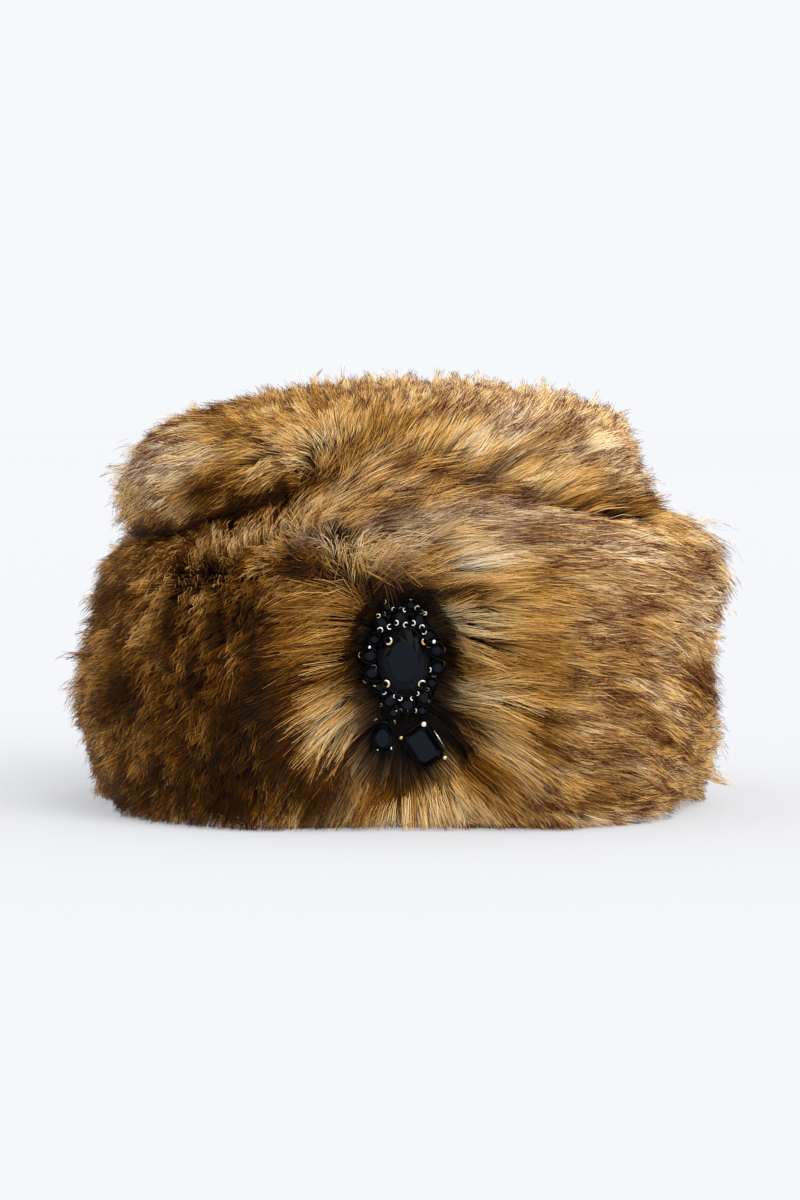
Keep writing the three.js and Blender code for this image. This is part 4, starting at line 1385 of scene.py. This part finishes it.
def oval_outline(wide, tall, points=48):
    rows = []
    for k in range(points):
        t = 2 * math.pi * k / points
        normal = Vector((math.cos(t) / wide, math.sin(t) / tall)).normalized()
        rows.append((wide / 2 * math.cos(t), tall / 2 * math.sin(t), normal.x, normal.y))
    return rows


def octagon_outline(wide, tall, cut):
    x, y = wide / 2, tall / 2
    upper = [(x, y - cut), (x - cut, y), (cut - x, y), (-x, y - cut)]
    corners = upper + [(-a, -b) for a, b in upper]
    rows = []
    for k, (a, b) in enumerate(corners):
        before, after = Vector(corners[k - 1]), Vector(corners[(k + 1) % 8])
        here = Vector((a, b))
        one, two = (here - before).normalized(), (after - here).normalized()
        normal = Vector((one.y + two.y, -one.x - two.x)).normalized()
        if normal.dot(here) < 0:
            normal = -normal
        rows.append((a, b, normal.x, normal.y))
    return rows


def all_stones():
    """Every stone of the brooch: middle, width, height, seat and turn, with the side ones on both sides."""
    rows = [(0, *stone) for stone in MIDDLE_STONES]
    for x, *rest, turn in PAIRED_STONES:
        rows.append((x, *rest, turn))
        rows.append((-x, *rest, -turn))
    return rows


def cup_section(foot, flare, knee, seat, lip):
    """The section of a cup's wall: out at its foot, up past the knee to the lip, and down to the stone."""
    rim = [(CUP_WALL, knee), (CUP_WALL, seat - LIP_DROP), (CUP_LIP, seat + lip)]
    return [(CUP_INSIDE, foot), (flare, foot), *rim, (CUP_INSIDE, seat - INNER_DROP)]


def floor_section(wide, foot, gap):
    """The section of a cup's floor, which leaves a small gap open in its middle."""
    inner = gap - wide / 2
    return [(inner, FLOOR_TOP), (inner, foot), (FLOOR_EDGE, foot), (FLOOR_EDGE, FLOOR_TOP)]


def add_eye(soup, x, y):
    """A wire eye on edge, for a link to hang from."""
    soup.ring(brooch_spot(x, y, EYE_HEIGHT), EYE_RADIUS * MM, WIRE * MM, DARK, tilt=ON_EDGE)


def make_metal(soup, name, node):
    make_piece(name, soup.mesh(name), metal_material(), "claw_metal", node)


def make_settings():
    """The dark metal that holds the stones: the plate, a cup round each stone, and the wire eyes under it."""
    soup = Soup()
    soup.wall(oval_outline(*PLATE), PLATE_SECTION, (0, 0), 0, DARK)
    for x, y, wide, tall, seat, turn in all_stones():
        soup.wall(oval_outline(wide, tall), cup_section(0.5, 0.5, seat - 0.5, seat, 0.05), (x, y), turn, DARK)
        soup.wall(oval_outline(wide, tall, 24), floor_section(wide, 0.5, 0.1), (x, y), turn, DARK)
    for x, y in EYES:
        add_eye(soup, x, y)
    make_metal(soup, "brooch_settings", "brooch_frame")


def make_claws():
    """The rolled ends of the claws, as charted: small dark tubes, each with a painted highlight arc on its
    lit side, and beads and a glint painted as highlights too.
    """
    soup = Soup()
    for x, y, wide, middle, span, thick, out, tone in CLAWS:
        radius = wide / 2 * BROOCH_SCALE - thick * MM
        place = brooch_place(x, y, out * MM)
        soup.ring(place + BEHIND, radius, thick * MM, DARK)
        # The arc in front is the painted highlight on the side that shines.
        soup.ring(place, radius, thick * MM, tone, middle - span / 2, span)
    for x, y, out, wide, tone in BEADS:
        across = wide * BROOCH_SCALE
        soup.ring(brooch_place(x, y, out * MM), across * BEAD_RING, across * BEAD_THICK, tone)
    glint = [brooch_place(*end, GLINT_OUT) for end in EDGE_GLINT]
    soup.tube(glint, [GLINT_THICK] * 2, SILVER_HIGHLIGHT)
    make_metal(soup, "brooch_claws", "brooch_frame")


def make_link(side, top, eye):
    """The ring of wire that a drop hangs from, through the eye at its top and the one under the plate."""
    soup = Soup()
    reach = (top - eye).length / 2
    way = (eye - top).normalized()
    path = []
    for k in range(LINK_STEPS):
        t = 2 * math.pi * k / LINK_STEPS
        beside = Vector((-way.y, way.x)) * math.sin(t) * LINK_DEPTH
        spot = (eye + top) / 2 + way * math.cos(t) * reach + beside
        path.append(brooch_spot(*spot, EYE_HEIGHT))
    soup.tube(path, [WIRE * MM] * LINK_STEPS, DARK, closed=True)
    make_metal(soup, f"link_{side}", f"drop_link_{side}")


def make_drops():
    """The drops' cups with the wire eye at the top of each, and the rings that they hang from."""
    for (side, x, y, wide, tall, turn, cut), eye in zip(DROPS, EYES):
        outline = octagon_outline(wide, tall, cut) if cut else oval_outline(wide, tall)
        soup = Soup()
        soup.wall(outline, cup_section(0.4, 0.3, 1.2, DROP_SEAT, 0.1), (x, y), turn, DARK)
        soup.wall(outline, floor_section(wide, 0.4, 0.2), (x, y), turn, DARK)
        up = Vector((0, tall / 2 + CUP_WALL + EYE_RADIUS - WIRE)) @ turned_flat(turn)
        top = Vector((x, y)) + up
        add_eye(soup, *top)
        make_metal(soup, f"setting_{side}", f"drop_setting_{side}")
        make_link(side, top, Vector(eye))


def metal_material():
    """Plated metal, from blackened to bright gold and silver by the map's u, slightly tarnished: all but the
    blackened tone are painted highlights.
    """
    if "plated_metal" in bpy.data.materials:
        return bpy.data.materials["plated_metal"]
    look = Look("plated_metal", 0.28)
    look.color(look.ramp(look.uv()[0], METAL_AND_HIGHLIGHT_TONES))
    look.shader["Metallic"].default_value = 1.0
    return look.material


def stone_material():
    """Polished black stone with painted reflections: facets that face up, and those that face down, are deep
    black and the others hold a painted blue-grey sheen, clouded by noise.
    """
    look = Look("black_stone", 0.06, 0.04)
    normal = look.nodes.new("ShaderNodeNewGeometry").outputs["True Normal"]
    upward = look.share(look.split(normal)[2], -1, 1, "LINEAR")
    noise = look.noise(120, place=look.place())
    # clear is the painted reflection by the way each facet faces, mixed below with cloudy noise.
    clear = look.ramp(upward, STONE_FACET_REFLECTIONS)
    cloudy = look.ramp(noise, [(0.35, (9, 10, 14)), (0.65, (12, 14, 19))])
    look.color(look.mix(look.maths("MULTIPLY", noise, 0.3), clear, cloudy))
    return look.material


def make_floor():
    mesh = bpy.data.meshes.new("floor")
    corners = [(-1, -1), (1, -1), (1, 1), (-1, 1)]
    mesh.from_pydata([(x * FLOOR_HALF, y * FLOOR_HALF, 0) for x, y in corners], [], [(0, 1, 2, 3)])
    mesh.materials.append(floor_material())
    floor = link(bpy.data.objects.new("floor", mesh))


def make_world():
    world = bpy.data.worlds.new("studio")
    bpy.context.scene.world = world
    world.use_nodes = True
    background = world.node_tree.nodes["Background"]
    background.inputs["Color"].default_value = SURROUND
    background.inputs["Strength"].default_value = 1.0


def make_light(name, energy, size, azimuth, elevation):
    data = bpy.data.lights.new(name, "SUN")
    data.energy = energy
    data.color = LIGHT_COLOR
    data.angle = math.radians(size)
    light = link(bpy.data.objects.new(name, data))
    a, e = math.radians(azimuth), math.radians(elevation)
    back = Vector((math.sin(a) * math.cos(e), -math.cos(a) * math.cos(e), math.sin(e)))
    light.rotation_euler = back.to_track_quat("Z", "Y").to_euler()


def make_camera():
    data = bpy.data.cameras.new("camera")
    data.sensor_width = SENSOR
    data.lens = SENSOR * FOCAL_PIXELS / PHOTO_TALL
    camera = link(bpy.data.objects.new("camera", data))
    camera.location = CAMERA_PLACE
    camera.rotation_euler = CAMERA_TURN.to_euler()
    bpy.context.scene.camera = camera


band_tree = surface_tree("band_pile")
crown_tree = surface_tree("crown_pile")
band_form = cast_form(band_tree)
crown_form = cast_form(crown_tree)
on_crown = (crown_form > band_form).astype(float)
pile = smoothed(down_to_floor(np.maximum(band_form, crown_form)), PILE_ROUNDS)
shaped = upright_hem(closed_below(softened_crease(eased_dent(pile))))
outer = Form(trimmed(shaped) - FORM_INSET)
cloth = down_to_floor(cast_form(surface_tree("band_cloth", "crown_cloth")))
under = Form(smoothed(np.maximum(outer.reach - PILE_DEPTH, cloth + CLOTH_COVER), 1))
knots, lies, knot_on_crown = knots_of(outer, crown_tree, band_tree)
combs = []
for zone in (False, True):
    chosen = knot_on_crown == zone
    combs.append(comb_field(outer, knots[chosen], [lie for lie, here in zip(lies, chosen) if here]))
tones = tone_field(outer)

make_undercoat(under)
make_fur(outer, np.maximum(outer.reach - under.reach, LEAST_DEPTH), combs, tones, on_crown)
make_cloth()
make_settings()
make_claws()
make_drops()
stone = stone_material()
for name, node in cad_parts.items():
    if "stone" in name or name == "brooch_pin":
        node.data.materials.clear()
        node.data.materials.append(stone if "stone" in name else metal_material())
make_floor()
make_world()
make_light("key", **KEY_LIGHT)
make_camera()
bpy.context.scene.view_settings.view_transform = "Standard"
